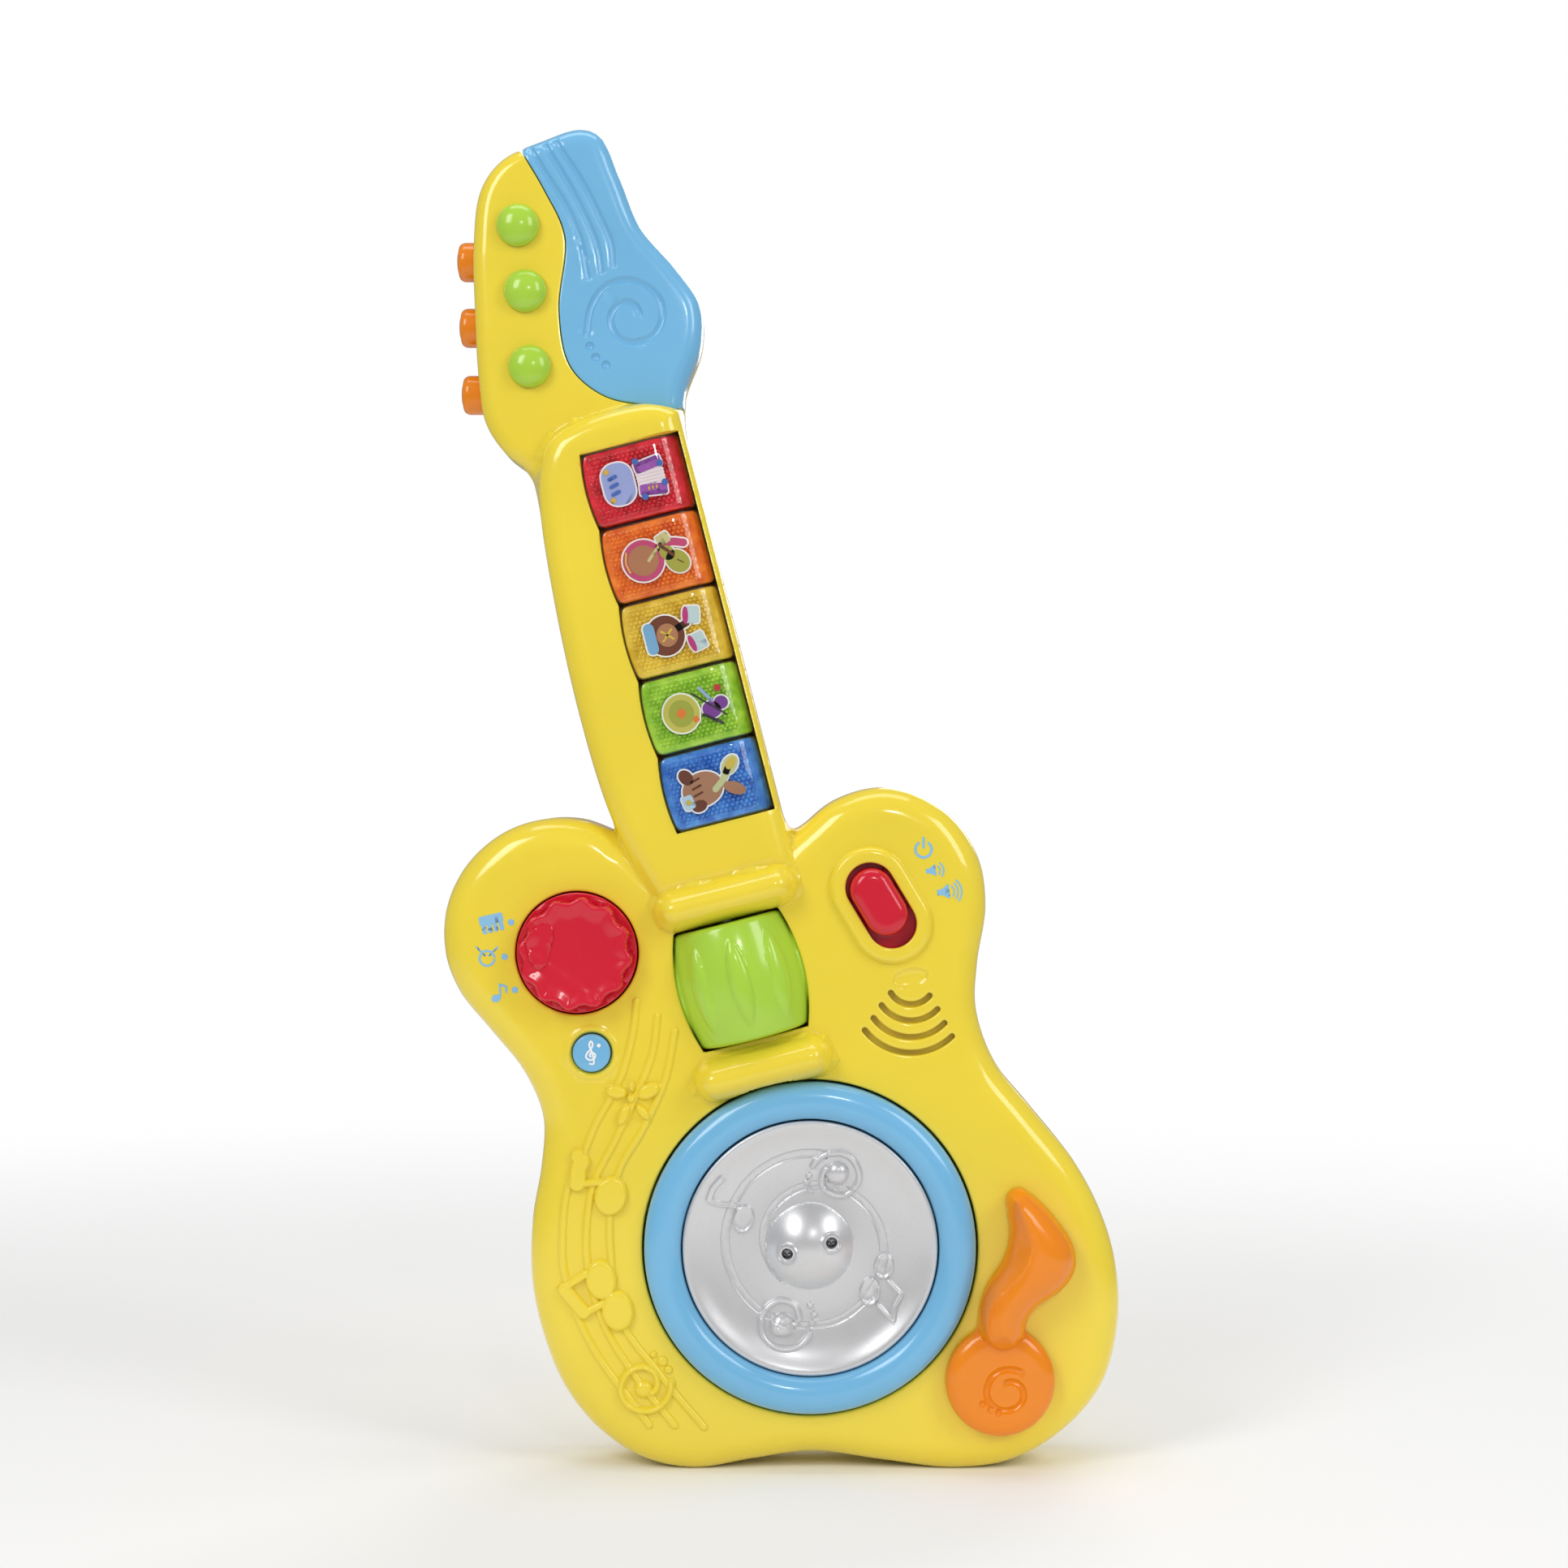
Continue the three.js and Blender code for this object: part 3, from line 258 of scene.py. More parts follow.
def line_distance(points, line, closed=False, reach=12.0):
    """Distance to a polyline, exact within `reach` of its box and at least `reach` beyond."""
    line = np.asarray(line, float)
    a = line if closed else line[:-1]
    b = np.roll(line, -1, 0) if closed else line[1:]
    result = np.full(len(points), float(reach))
    near = np.where(((points >= line.min(0) - reach) & (points <= line.max(0) + reach)).all(1))[0]
    span = b - a
    square = (span ** 2).sum(1) + 1e-12
    for part in np.array_split(near, max(1, len(near) // 3000)):
        p = points[part][:, None, :]
        t = np.clip(((p - a) * span).sum(2) / square, 0, 1)
        gap = p - (a + t[:, :, None] * span)
        result[part] = np.sqrt((gap ** 2).sum(2).min(1))
    return result


def depth_in(points, loop, reach=12.0):
    """How far inside a closed loop each point is; negative outside."""
    away = line_distance(points, loop, True, reach)
    return np.where(inside(points, loop), away, -away)


def smooth_max(a, b, width):
    blend = np.clip(width - np.abs(a - b), 0, None) / width
    return np.maximum(a, b) + blend * blend * width * 0.25


def rounded_rim(depth, edge, rise, draft=4.0):
    """Height above the foot of a rounded rim, `depth` millimetres in from the outline."""
    t = np.clip((edge - depth) / edge, 0, 1)
    return np.where(depth < 0, draft * depth, rise * np.sqrt(1 - t * t))


def bump(distance, half_width, height):
    """Rounded ridge cross-section with soft feet."""
    t = np.clip(distance / half_width, 0, 1)
    return height * (1 - t * t) ** 1.5 * (1 + 0.9 * t * t)


def pillow(depth, edge, height):
    """A raised pad with a rounded shoulder `edge` wide."""
    t = np.clip(depth / edge, 0, 1)
    return height * np.sqrt(np.clip(1 - (1 - t) ** 2, 0, None))


def ellipse_depth(points, centre, rx, ry, degrees):
    """About how deep each point is inside an ellipse, in millimetres."""
    local = turned_by(points - np.array(centre), -math.radians(degrees))
    return (1 - np.hypot(local[:, 0] / rx, local[:, 1] / ry)) * min(rx, ry)


def round_depth(points, centre, radius):
    return ellipse_depth(points, centre, radius, radius, 0)


def ridge(points, line, half_width, height, reach=3.0):
    """Height of a rounded ridge that follows a line."""
    return bump(line_distance(points, line, reach=reach), half_width, height)


# ---------------------------------------------------------------- relief pieces


INNER_STEP, INNER_PITCH, INNER_MARGIN = 2.2, 5.0, 1.5     # the unseen inside of a shell is coarse
CELL_STRIDE = 1000003


def rim_insets(edge, steps=8):
    """How far in the rows of vertices on a rounded rim lie."""
    return [edge * (1 - math.cos(math.pi / 2 * i / steps)) for i in range(1, steps + 1)]


def hex_grid(low, high, pitch):
    """Points of a triangular lattice over a rectangle."""
    xs = np.arange(low[0], high[0], pitch)
    ys = np.arange(low[1], high[1], pitch * 0.866)
    gx, gy = np.meshgrid(xs, ys)
    gx = gx + (np.arange(len(ys)) % 2)[:, None] * pitch / 2
    return np.stack([gx.ravel(), gy.ravel()], 1)


def cells(points, size):
    """A number for the square cell that each point is in."""
    column, row = np.floor(points / size).astype(np.int64).T
    return column * CELL_STRIDE + row


def thin(points, gap):
    """Drops points that share a cell of size `gap` with an earlier one."""
    _, first = np.unique(cells(points, gap), return_index=True)
    return points[np.sort(first)]


def beside(line, offsets, step):
    """Rows of points beside a line, for detail that follows it."""
    line = resample(line, step)
    return np.vstack([line + line_normals(line) * o for o in offsets])


def triangulate(loops, free=()):
    """Constrained triangulation of the first loop with the others as holes."""
    points = np.vstack([*loops, free]) if len(free) else np.vstack(loops)
    edges = []
    start = 0
    for loop in loops:
        n = len(loop)
        edges += [(start + i, start + (i + 1) % n) for i in range(n)]
        start += n
    out = delaunay_2d_cdt([Vector(p) for p in points], edges, [], 0, 1e-7, False)
    verts = np.array([(v.x, v.y) for v in out[0]])
    faces = np.array(out[2])
    centre = verts[faces].mean(1)
    keep = inside(centre, loops[0])
    for hole in loops[1:]:
        keep &= ~inside(centre, hole)
    return verts, faces[keep]


def inset_loop(loop, distance, step):
    """A closed loop moved inwards, without the folds that tight corners would give."""
    ring = loop + side_normals(loop) * distance
    ring = ring[line_distance(ring, loop, True, distance + 2) > 0.98 * distance]
    return resample(ring, step, True)


def wound(first, points, faces, up):
    """The triangles numbered from `first` and wound so that they look up, or down."""
    side, other = points[faces[:, 1]] - points[faces[:, 0]], points[faces[:, 2]] - points[faces[:, 0]]
    right = (np.cross(side, other) > 0) == up
    return [tuple(f) for f in (first + np.where(right[:, None], faces, faces[:, ::-1])).tolist()]


def bridge(faces, start_a, start_b, count, flip=False):
    """Quads between two closed rows of the same length."""
    for i in range(count):
        j = (i + 1) % count
        quad = (start_a + i, start_b + i, start_b + j, start_a + j)
        faces.append(quad[::-1] if flip else quad)


def free_points(outline, holes, pitch, insets, detail, hole_insets):
    """Places for the inner vertices of a relief: rows along its rims, its detail, and a plain grid."""
    last = max(insets) if len(insets) else 0.0
    normal = side_normals(outline)
    rows = []
    for inset in insets:
        ring = outline + normal * inset
        rows.append(ring[line_distance(ring, outline, True, last + 2) > inset * 0.97 - 1e-6])
    special = [hole - side_normals(hole) * inset for hole in holes for inset in hole_insets]
    if detail is not None:
        special.append(detail)
    special = thin(np.vstack(special), 0.16) if special else np.zeros((0, 2))
    grid = hex_grid(outline.min(0), outline.max(0), pitch)
    depth = depth_in(grid, outline, last + pitch)
    grid = grid[depth > last + 0.45 * pitch]
    crowded = np.isin(cells(grid, 0.6 * pitch), cells(special, 0.6 * pitch))
    free = np.vstack([special, *rows, grid[~crowded]])
    good = depth_in(free, outline, 0.6) > 0.05
    for hole in holes:
        good &= depth_in(free, hole, 0.6) < -0.08
    return free[good]


def relief(outline, holes, height, floor, pitch, insets=(), detail=None, hole_insets=(0.15, 0.45, 0.9),
           wall=None):
    """Closed solid, in face millimetres: a fine upper surface at height(points) over straight sides
    down to `floor`. It is solid, or a shell with that wall. Returns its vertices and faces."""
    outline, *holes = [anticlockwise(loop) for loop in (outline, *holes)]
    loops = [outline, *holes]
    top, top_faces = triangulate(loops, free_points(outline, holes, pitch, insets, detail, hole_insets))
    faces = wound(0, top, top_faces, True)
    upper = np.column_stack([top, height(top)])
    if wall is None:
        lower = solid_foot(loops, floor, len(top), faces)
    else:
        lower = shell_foot(loops, height, floor, wall, len(top), faces)
    return np.vstack([upper, *lower]), faces


def solid_foot(loops, floor, foot, faces):
    """Flat underside of a solid relief, joined to the loops of its upper surface."""
    base, base_faces = triangulate(loops)
    faces += wound(foot, base, base_faces, False)
    start = 0
    for k, loop in enumerate(loops):
        bridge(faces, start, foot + start, len(loop), k > 0)
        start += len(loop)
    return [np.column_stack([base, np.full(len(base), floor)])]


def shell_foot(loops, height, floor, wall, foot, faces):
    """Rim and inner surface of a hollow relief. The inner surface is too coarse for fine detail."""
    outline, *holes = loops
    inner = inset_loop(outline, wall, INNER_STEP)
    ring, ring_faces = triangulate([outline, inner])
    faces += wound(foot, ring, ring_faces, False)
    bridge(faces, 0, foot, len(outline))
    grid = hex_grid(inner.min(0), inner.max(0), INNER_PITCH)
    good = depth_in(grid, inner, 2 * INNER_MARGIN) > INNER_MARGIN
    for hole in holes:
        good &= depth_in(grid, hole, 2 * INNER_MARGIN) < -INNER_MARGIN
    roof, roof_faces = triangulate([inner, *holes], grid[good])
    over = foot + len(ring)
    faces += wound(over, roof, roof_faces, False)
    bridge(faces, over, foot + len(outline), len(inner), True)
    start_top, start_roof = len(outline), len(inner)
    for hole in holes:
        bridge(faces, start_top, over + start_roof, len(hole), True)
        start_top += len(hole)
        start_roof += len(hole)
    return [np.column_stack([ring, np.full(len(ring), floor)]), np.column_stack([roof, height(roof) - wall])]


def joined(*meshes):
    """Several (vertices, faces) as one."""
    verts, faces, start = [], [], 0
    for v, f in meshes:
        verts.append(np.asarray(v, float))
        faces += [tuple(start + i for i in face) for face in f]
        start += len(v)
    return np.vstack(verts), faces


def mesh_object(name, verts, faces, material, body, nodes=(), matrix=FACE_TO_ROW):
    """A shaded piece in the row frame, riding on a body and standing for CAD nodes."""
    mesh = bpy.data.meshes.new(name)
    mesh.from_pydata([tuple(v) for v in np.asarray(verts, float)], [], [tuple(f) for f in faces])
    mesh.update()
    mesh.transform(matrix)
    work = bmesh.new()
    work.from_mesh(mesh)
    bmesh.ops.recalc_face_normals(work, faces=work.faces)
    work.to_mesh(mesh)
    work.free()
    mesh.shade_smooth()
    mesh.set_sharp_from_angle(angle=math.radians(SHARP_DEGREES))
    mesh.materials.append(material)
    piece = bpy.data.objects.new(name, mesh)
    bpy.context.scene.collection.objects.link(piece)
    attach(piece, body)
    if nodes:
        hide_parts(*nodes)




def turned(profile, sides, centre=(0, 0)):
    """Closed body of revolution about the face normal from (radius, height) pairs, face frame."""
    radius, z = np.array(profile, float).T
    verts, faces = [], []
    for i in range(sides):
        turn = 2 * math.pi * i / sides
        x, y = centre[0] + radius * math.cos(turn), centre[1] + radius * math.sin(turn)
        verts.append(np.stack([x, y, z], 1))
    n = len(profile)
    for i in range(sides):
        here, there = i * n, (i + 1) % sides * n
        for k in range(n - 1):
            faces.append((here + k, here + k + 1, there + k + 1, there + k))
    return merged(np.vstack(verts), faces)


def merged(verts, faces):
    """Joins vertices that share a place, and drops the faces that this leaves without area."""
    unique, index = np.unique(np.round(verts, 5), axis=0, return_inverse=True)
    index = index.ravel()
    clean = [tuple(dict.fromkeys(int(index[v]) for v in face)) for face in faces]
    return unique, [face for face in clean if len(face) > 2]


# ---------------------------------------------------------------- materials


class Nodes:
    """Short names for building a shader."""

    def __init__(self, name):
        self.material = bpy.data.materials.new(name)
        self.material.use_nodes = True
        self.tree = self.material.node_tree
        self.tree.nodes.clear()
        self.output = self.tree.nodes.new("ShaderNodeOutputMaterial")

    def add(self, kind, **values):
        node = self.tree.nodes.new(kind)
        for key, value in values.items():
            if hasattr(node, key):
                setattr(node, key, value)
            else:
                node.inputs[key.replace("_", " ")].default_value = value
        return node

    def link(self, source, target):
        self.tree.links.new(source, target)


def coordinates(nodes, scale):
    """The piece's own coordinates, in metres, times a scale."""
    where = nodes.add("ShaderNodeTexCoord")
    mapping = nodes.add("ShaderNodeMapping")
    mapping.inputs["Scale"].default_value = (scale, scale, scale)
    nodes.link(where.outputs["Object"], mapping.inputs["Vector"])
    return mapping.outputs["Vector"]


def ramp(nodes, factor, low, high, start=0.3, end=0.7):
    """A factor turned into a colour or a value that runs from `low` to `high`."""
    node = nodes.add("ShaderNodeValToRGB")
    for element, place, value in zip(node.color_ramp.elements, (start, end), (low, high)):
        element.position = place
        element.color = (*value, 1) if hasattr(value, "__len__") else (value, value, value, 1)
    nodes.link(factor, node.inputs["Fac"])
    return node.outputs["Color"]


def shade(color, factor):
    return tuple(min(1.0, max(0.0, c * factor)) for c in color)


def plastic(name, color, roughness=0.16, grain=0.012, soft=0.06, coat=0.35, vary=0.035):
    """Moulded gloss plastic: faint flow marks in colour and gloss, and a very fine skin."""
    nodes = Nodes(name)
    bsdf = nodes.add("ShaderNodeBsdfPrincipled")
    flow = nodes.add("ShaderNodeTexNoise", Scale=1.0, Detail=3.0, Roughness=0.5)
    nodes.link(coordinates(nodes, 22), flow.inputs["Vector"])
    nodes.link(
        ramp(nodes, flow.outputs["Fac"], shade(color, 1 - vary), shade(color, 1 + vary)),
        bsdf.inputs["Base Color"],
    )
    haze = nodes.add("ShaderNodeTexNoise", Scale=1.0, Detail=4.0, Roughness=0.6)
    nodes.link(coordinates(nodes, 140), haze.inputs["Vector"])
    nodes.link(
        ramp(nodes, haze.outputs["Fac"], roughness * 0.82, roughness * 1.2),
        bsdf.inputs["Roughness"],
    )
    skin = nodes.add("ShaderNodeTexNoise", Scale=1.0, Detail=2.0, Roughness=0.5)
    nodes.link(coordinates(nodes, 900), skin.inputs["Vector"])
    relief_node = nodes.add("ShaderNodeBump", Strength=grain * 6, Distance=0.00006)
    nodes.link(skin.outputs["Fac"], relief_node.inputs["Height"])
    nodes.link(relief_node.outputs["Normal"], bsdf.inputs["Normal"])
    bsdf.inputs["IOR"].default_value = 1.5
    bsdf.inputs["Coat Weight"].default_value = coat
    bsdf.inputs["Coat Roughness"].default_value = 0.04
    bsdf.inputs["Subsurface Weight"].default_value = soft
    bsdf.inputs["Subsurface Radius"].default_value = (0.004, 0.003, 0.0015)
    bsdf.inputs["Subsurface Scale"].default_value = 0.5
    nodes.link(bsdf.outputs["BSDF"], nodes.output.inputs["Surface"])
    return nodes.material


def metal(name, color, roughness, metallic=1.0):
    """Bare or painted metal with fine uneven polish."""
    nodes = Nodes(name)
    bsdf = nodes.add("ShaderNodeBsdfPrincipled")
    grain = nodes.add("ShaderNodeTexNoise", Scale=1.0, Detail=5.0, Roughness=0.6)
    nodes.link(coordinates(nodes, 300), grain.inputs["Vector"])
    nodes.link(
        ramp(nodes, grain.outputs["Fac"], shade(color, 0.94), shade(color, 1.05)),
        bsdf.inputs["Base Color"],
    )
    nodes.link(
        ramp(nodes, grain.outputs["Fac"], roughness * 0.8, roughness * 1.25),
        bsdf.inputs["Roughness"],
    )
    bsdf.inputs["Metallic"].default_value = metallic
    nodes.link(bsdf.outputs["BSDF"], nodes.output.inputs["Surface"])
    return nodes.material


def silver_paint():
    """Silver paint on plastic: fine metal flakes under a satin top."""
    nodes = Nodes("silver_paint")
    bsdf = nodes.add("ShaderNodeBsdfPrincipled")
    flakes = nodes.add("ShaderNodeTexVoronoi", Scale=1.0)
    nodes.link(coordinates(nodes, 5200), flakes.inputs["Vector"])
    nodes.link(
        ramp(nodes, flakes.outputs["Distance"], (0.76, 0.76, 0.775), (0.68, 0.68, 0.695), 0.1, 0.8),
        bsdf.inputs["Base Color"],
    )
    cloud = nodes.add("ShaderNodeTexNoise", Scale=1.0, Detail=3.0)
    nodes.link(coordinates(nodes, 60), cloud.inputs["Vector"])
    nodes.link(ramp(nodes, cloud.outputs["Fac"], 0.30, 0.36), bsdf.inputs["Roughness"])
    sparkle = nodes.add("ShaderNodeBump", Strength=0.05, Distance=0.00004)
    nodes.link(flakes.outputs["Distance"], sparkle.inputs["Height"])
    nodes.link(sparkle.outputs["Normal"], bsdf.inputs["Normal"])
    bsdf.inputs["Metallic"].default_value = 0.6
    bsdf.inputs["Coat Weight"].default_value = 0.25
    bsdf.inputs["Coat Roughness"].default_value = 0.12
    nodes.link(bsdf.outputs["BSDF"], nodes.output.inputs["Surface"])
    return nodes.material


def bead_plastic(name, color, bright):
    """The beaded underside of a tinted key, seen through its clear cover."""
    nodes = Nodes(name)
    bsdf = nodes.add("ShaderNodeBsdfPrincipled")
    mottle = nodes.add("ShaderNodeTexNoise", Scale=1.0, Detail=2.0)
    nodes.link(coordinates(nodes, 260), mottle.inputs["Vector"])
    nodes.link(
        ramp(nodes, mottle.outputs["Fac"], color, bright, 0.3, 0.7),
        bsdf.inputs["Base Color"],
    )
    nodes.link(ramp(nodes, mottle.outputs["Fac"], 0.08, 0.16), bsdf.inputs["Roughness"])
    bsdf.inputs["Coat Weight"].default_value = 0.6
    bsdf.inputs["Coat Roughness"].default_value = 0.06
    nodes.link(bsdf.outputs["BSDF"], nodes.output.inputs["Surface"])
    return nodes.material


def clear_tint(name, color):
    """Clear tinted cover: passes tinted light and mirrors by angle, with faint flow marks."""
    nodes = Nodes(name)
    flow = nodes.add("ShaderNodeTexNoise", Scale=1.0, Detail=2.0)
    nodes.link(coordinates(nodes, 60), flow.inputs["Vector"])
    through = nodes.add("ShaderNodeBsdfTransparent")
    nodes.link(
        ramp(nodes, flow.outputs["Fac"], shade(color, 0.96), shade(color, 1.02)), through.inputs["Color"],
    )
    gloss = nodes.add("ShaderNodeBsdfGlossy")
    nodes.link(ramp(nodes, flow.outputs["Fac"], 0.02, 0.05), gloss.inputs["Roughness"])
    angle = nodes.add("ShaderNodeLayerWeight")
    angle.inputs["Blend"].default_value = 0.3
    mix = nodes.add("ShaderNodeMixShader")
    nodes.link(ramp(nodes, angle.outputs["Facing"], 0.045, 0.5, 0.3, 1.0), mix.inputs["Fac"])
    nodes.link(through.outputs["BSDF"], mix.inputs[1])
    nodes.link(gloss.outputs["BSDF"], mix.inputs[2])
    nodes.link(mix.outputs["Shader"], nodes.output.inputs["Surface"])
    return nodes.material


def print_ink(name, color, roughness=0.35):
    """Pad-printed ink or sticker film with a slight unevenness."""
    return plastic(name, color, roughness=roughness, grain=0.02, soft=0.0, coat=0.2, vary=0.05)


YELLOW = plastic("yellow_plastic", (0.90, 0.700, 0.048), roughness=0.15)
BLUE = plastic("blue_plastic", (0.180, 0.490, 0.775), roughness=0.18)
RED = plastic("red_plastic", (0.660, 0.008, 0.030), roughness=0.18, coat=0.15)
ORANGE = plastic("orange_plastic", (0.890, 0.255, 0.004), roughness=0.18, coat=0.15)
GREEN = plastic("green_plastic", (0.420, 0.680, 0.055), roughness=0.18, coat=0.2)
SILVER = silver_paint()
STEEL = metal("steel", (0.55, 0.55, 0.56), 0.32)
NICKEL = metal("nickel", (0.66, 0.64, 0.60), 0.25)
COPPER = metal("copper_leaf", (0.72, 0.45, 0.22), 0.3)
BOARD = plastic("green_board", (0.03, 0.22, 0.09), roughness=0.45, soft=0.0, vary=0.15)
RUBBER = plastic("grey_rubber", (0.62, 0.62, 0.60), roughness=0.75, coat=0.0, soft=0.05)
BLACK = plastic("black_plastic", (0.025, 0.025, 0.027), roughness=0.45, coat=0.0, soft=0.0)
WHITE = plastic("white_plastic", (0.82, 0.82, 0.80), roughness=0.4, coat=0.0)
CELL = metal("cell_case", (0.10, 0.10, 0.11), 0.35, metallic=0.6)
LENS = plastic("lamp_lens", (0.9, 0.9, 0.86), roughness=0.3)
ICON_INK = print_ink("icon_ink", (0.26, 0.55, 0.80))
WHITE_INK = print_ink("white_ink", (0.92, 0.92, 0.92))

# ---------------------------------------------------------------- the yellow shells

body_loop = spline(BODY_LOOP, 1.6, True)
head_loop = spline(HEAD_LOOP, 1.5, True)
neck_loop = on_neck(resample(np.vstack([
    [(-27.2, -20), (17.4, -20)], spline(NECK_LEFT_SIDE, 1.5),
]), 1.5, True))
cover_edge = spline(COVER_BOUNDARY, 1.2)
cover_region = np.vstack([cover_edge, [(-12, 350), (-30, 400), (-50, 430), (-84, 425)]])


def run_of(loop, keep):
    """The kept points of a closed loop as runs, in order."""
    start = int(np.where(~keep)[0][0])
    order = np.roll(np.arange(len(loop)), -start)
    runs, current = [], []
    for i in order:
        if keep[i]:
            current.append(loop[i])
        elif current:
            runs.append(np.array(current))
            current = []
    if current:
        runs.append(np.array(current))
    return runs


def soften(loop, rounds, corners):
    """Rounds off a loop near some corners, each with its reach."""
    loop = loop.copy()
    for centre, radius in corners:
        for _ in range(rounds):
            near = np.linalg.norm(loop - np.array(centre), axis=1) < radius
            middle = (np.roll(loop, 1, 0) + np.roll(loop, -1, 0)) / 2
            loop[near] = 0.5 * loop[near] + 0.5 * middle[near]
    return loop


def joined_outline(step, *loops):
    """Outline round several overlapping loops."""
    runs = []
    for loop in loops:
        covered = np.any([inside(loop, other) for other in loops if other is not loop], axis=0)
        runs += [r for r in run_of(loop, ~covered) if len(r) > 3]
    chain = runs.pop(int(np.argmax([len(r) for r in runs])))
    while runs:
        ends = [(np.linalg.norm(r[0] - chain[-1]), i, 1) for i, r in enumerate(runs)]
        ends += [(np.linalg.norm(r[-1] - chain[-1]), i, -1) for i, r in enumerate(runs)]
        _, i, way = min(ends)
        chain = np.vstack([chain, runs.pop(i)[::way]])
    return resample(chain, step, True)


INNER_CORNERS = [((-51, 197), 9), ((2.5, 195), 7), ((-75, 303), 9), ((-31, 327), 6)]
CAD_INSET = 0.02     # how far the outline keeps inside the box of the CAD frame


def whole_outline():
    """Outline of body, neck and head together, with filleted inner corners."""
    loop = joined_outline(1.5, body_loop, neck_loop, head_loop)
    low = np.array([cad_low.x / MM - SHIFT_X + CAD_INSET, 0.0])
    high = np.array([cad_high.x / MM - SHIFT_X, cad_high.z / MM]) - CAD_INSET
    return np.clip(soften(np.clip(loop, low, high), 14, INNER_CORNERS), low, high)


OUTLINE = whole_outline()

SADDLES = [((-6, -22.6), 46.6), ((AXIS_U, -76.2), 45.0)]
SADDLE_WIDTH, SADDLE_TOP = 14.6, 46.0
STAFF = [
    [(-44.4, 144.8), (-45.4, 135.9), (-49.4, 121.1), (-57.3, 106.3), (-61.2, 96.4), (-65.7, 86.6),
     (-67.1, 73.7), (-66.7, 61.9), (-62.2, 47.1), (-55.3, 34.2), (-46.4, 22.4), (-40.5, 14.4)],
    [(-38, 140.2), (-39.5, 129), (-44.4, 116.2), (-51.3, 101.4), (-57.3, 89.5), (-59.7, 76.7),
     (-59.2, 61.9), (-54.3, 45.1), (-45.4, 30.3), (-32.6, 14.2)],
    [(-32.6, 135.7), (-35.5, 121.1), (-42.5, 105.3), (-49.4, 93.5), (-52.3, 81.6), (-52.3, 66.8),
     (-49.4, 47.1), (-37.5, 30.3), (-23.6, 13.8)],
]
STAFF_HALF, STAFF_HEIGHT = 1.35, 0.95
PETALS = [
    ((-50.6, 117.0), 3.4, 2.2, 170), ((-45.9, 118.7), 1.9, 1.0, 90), ((-40.7, 117.2), 3.8, 2.4, 25),
    ((-42.3, 110.6), 3.2, 1.5, -50), ((-48.3, 109.8), 3.8, 1.7, 68), ((-46, 114.9), 1.4, 1.4, 0),
]
BODY_NOTE_HEADS = [
    ((-52.3, 84.9), 5.1, 6.2, -12), ((-55.3, 59.2), 4.8, 6.3, 8), ((-50.2, 49.7), 5.0, 6.4, 8),
]
NOTE_STROKES = [
    ([(-55.4, 89.2), (-62.6, 88.6)], 1.2), ([(-62.6, 88.8), (-62.2, 93.6), (-61.2, 95.6)], 2.6),
    ([(-61.4, 95), (-62.6, 97.4)], 2.2),
    ([(-59.6, 61.2), (-67.2, 56.4)], 1.3), ([(-66.6, 56.2), (-60.6, 49.2)], 2.2),
    ([(-60.8, 48.6), (-54.6, 52)], 1.3),
]
BODY_SPIRAL, BODY_BOSS_R = (-42.3, 25.6), 2.8
BODY_DOTS = [((-39.2, 36.2), 1.1), ((-36.4, 34.1), 1.6), ((-34.6, 31.5), 1.3)]
SPIRAL_TURN = [-25, 15, 55, 90, 180, 270, 340, 372]
SPIRAL_RADIUS = [2.9, 4.4, 6.0, 6.8, 6.9, 6.7, 7.8, 8.7]
LINE_OFFSETS = [-1.3, -1.05, -0.75, -0.4, 0, 0.4, 0.75, 1.05, 1.3]
PAD_INSETS = [-0.15, 0.02, 0.12, 0.3, 0.6, 0.95, 1.3, 1.9]
END_INSETS = [0.05, 0.3, 0.6, 0.95]


def spiral_line(centre, scale=1.0, turn=0.0, mirror=False):
    """The curl that the body, and mirrored the lever, carries."""
    degrees = np.linspace(SPIRAL_TURN[0], SPIRAL_TURN[-1], 90)
    radius = np.interp(degrees, SPIRAL_TURN, SPIRAL_RADIUS) * scale
    angle = np.radians(degrees + turn)
    x = -np.cos(angle) if mirror else np.cos(angle)
    return np.array(centre) + np.stack([radius * x, radius * np.sin(angle)], 1)


def disc_rows(centre, rx, ry, degrees, insets, step=0.6):
    """Rows of points for a raised ellipse."""
    rows = []
    for inset in insets:
        a, b = max(rx - inset, 0.05), max(ry - inset, 0.05)
        turn = np.linspace(0, 2 * math.pi, max(8, int(math.pi * (a + b) / step)), endpoint=False)
        ring = np.stack([a * np.cos(turn), b * np.sin(turn)], 1)
        rows.append(turned_by(ring, math.radians(degrees), centre))
    return np.vstack(rows)


def round_rows(centre, radius, insets, step):
    return disc_rows(centre, radius, radius, 0, insets, step)


def line_rows(line, offsets, step, end_radius, end_insets, end_step=0.5):
    """Rows of points for a raised line and for its round ends."""
    ends = [round_rows(end, end_radius, end_insets, end_step) for end in (line[0], line[-1])]
    return np.vstack([beside(line, offsets, step), *ends])


SPEAKER_X = 40.0
SPEAKER_SLOTS = [(8.2, 151.0, 55), (12.0, 149.8, 51), (15.2, 147.9, 50), (19.0, 146.9, 48)]
SLOT_TILT, SPEAKER_SLOT_WIDTH = -4, 1.8
ROLLER_GAP = 0.7


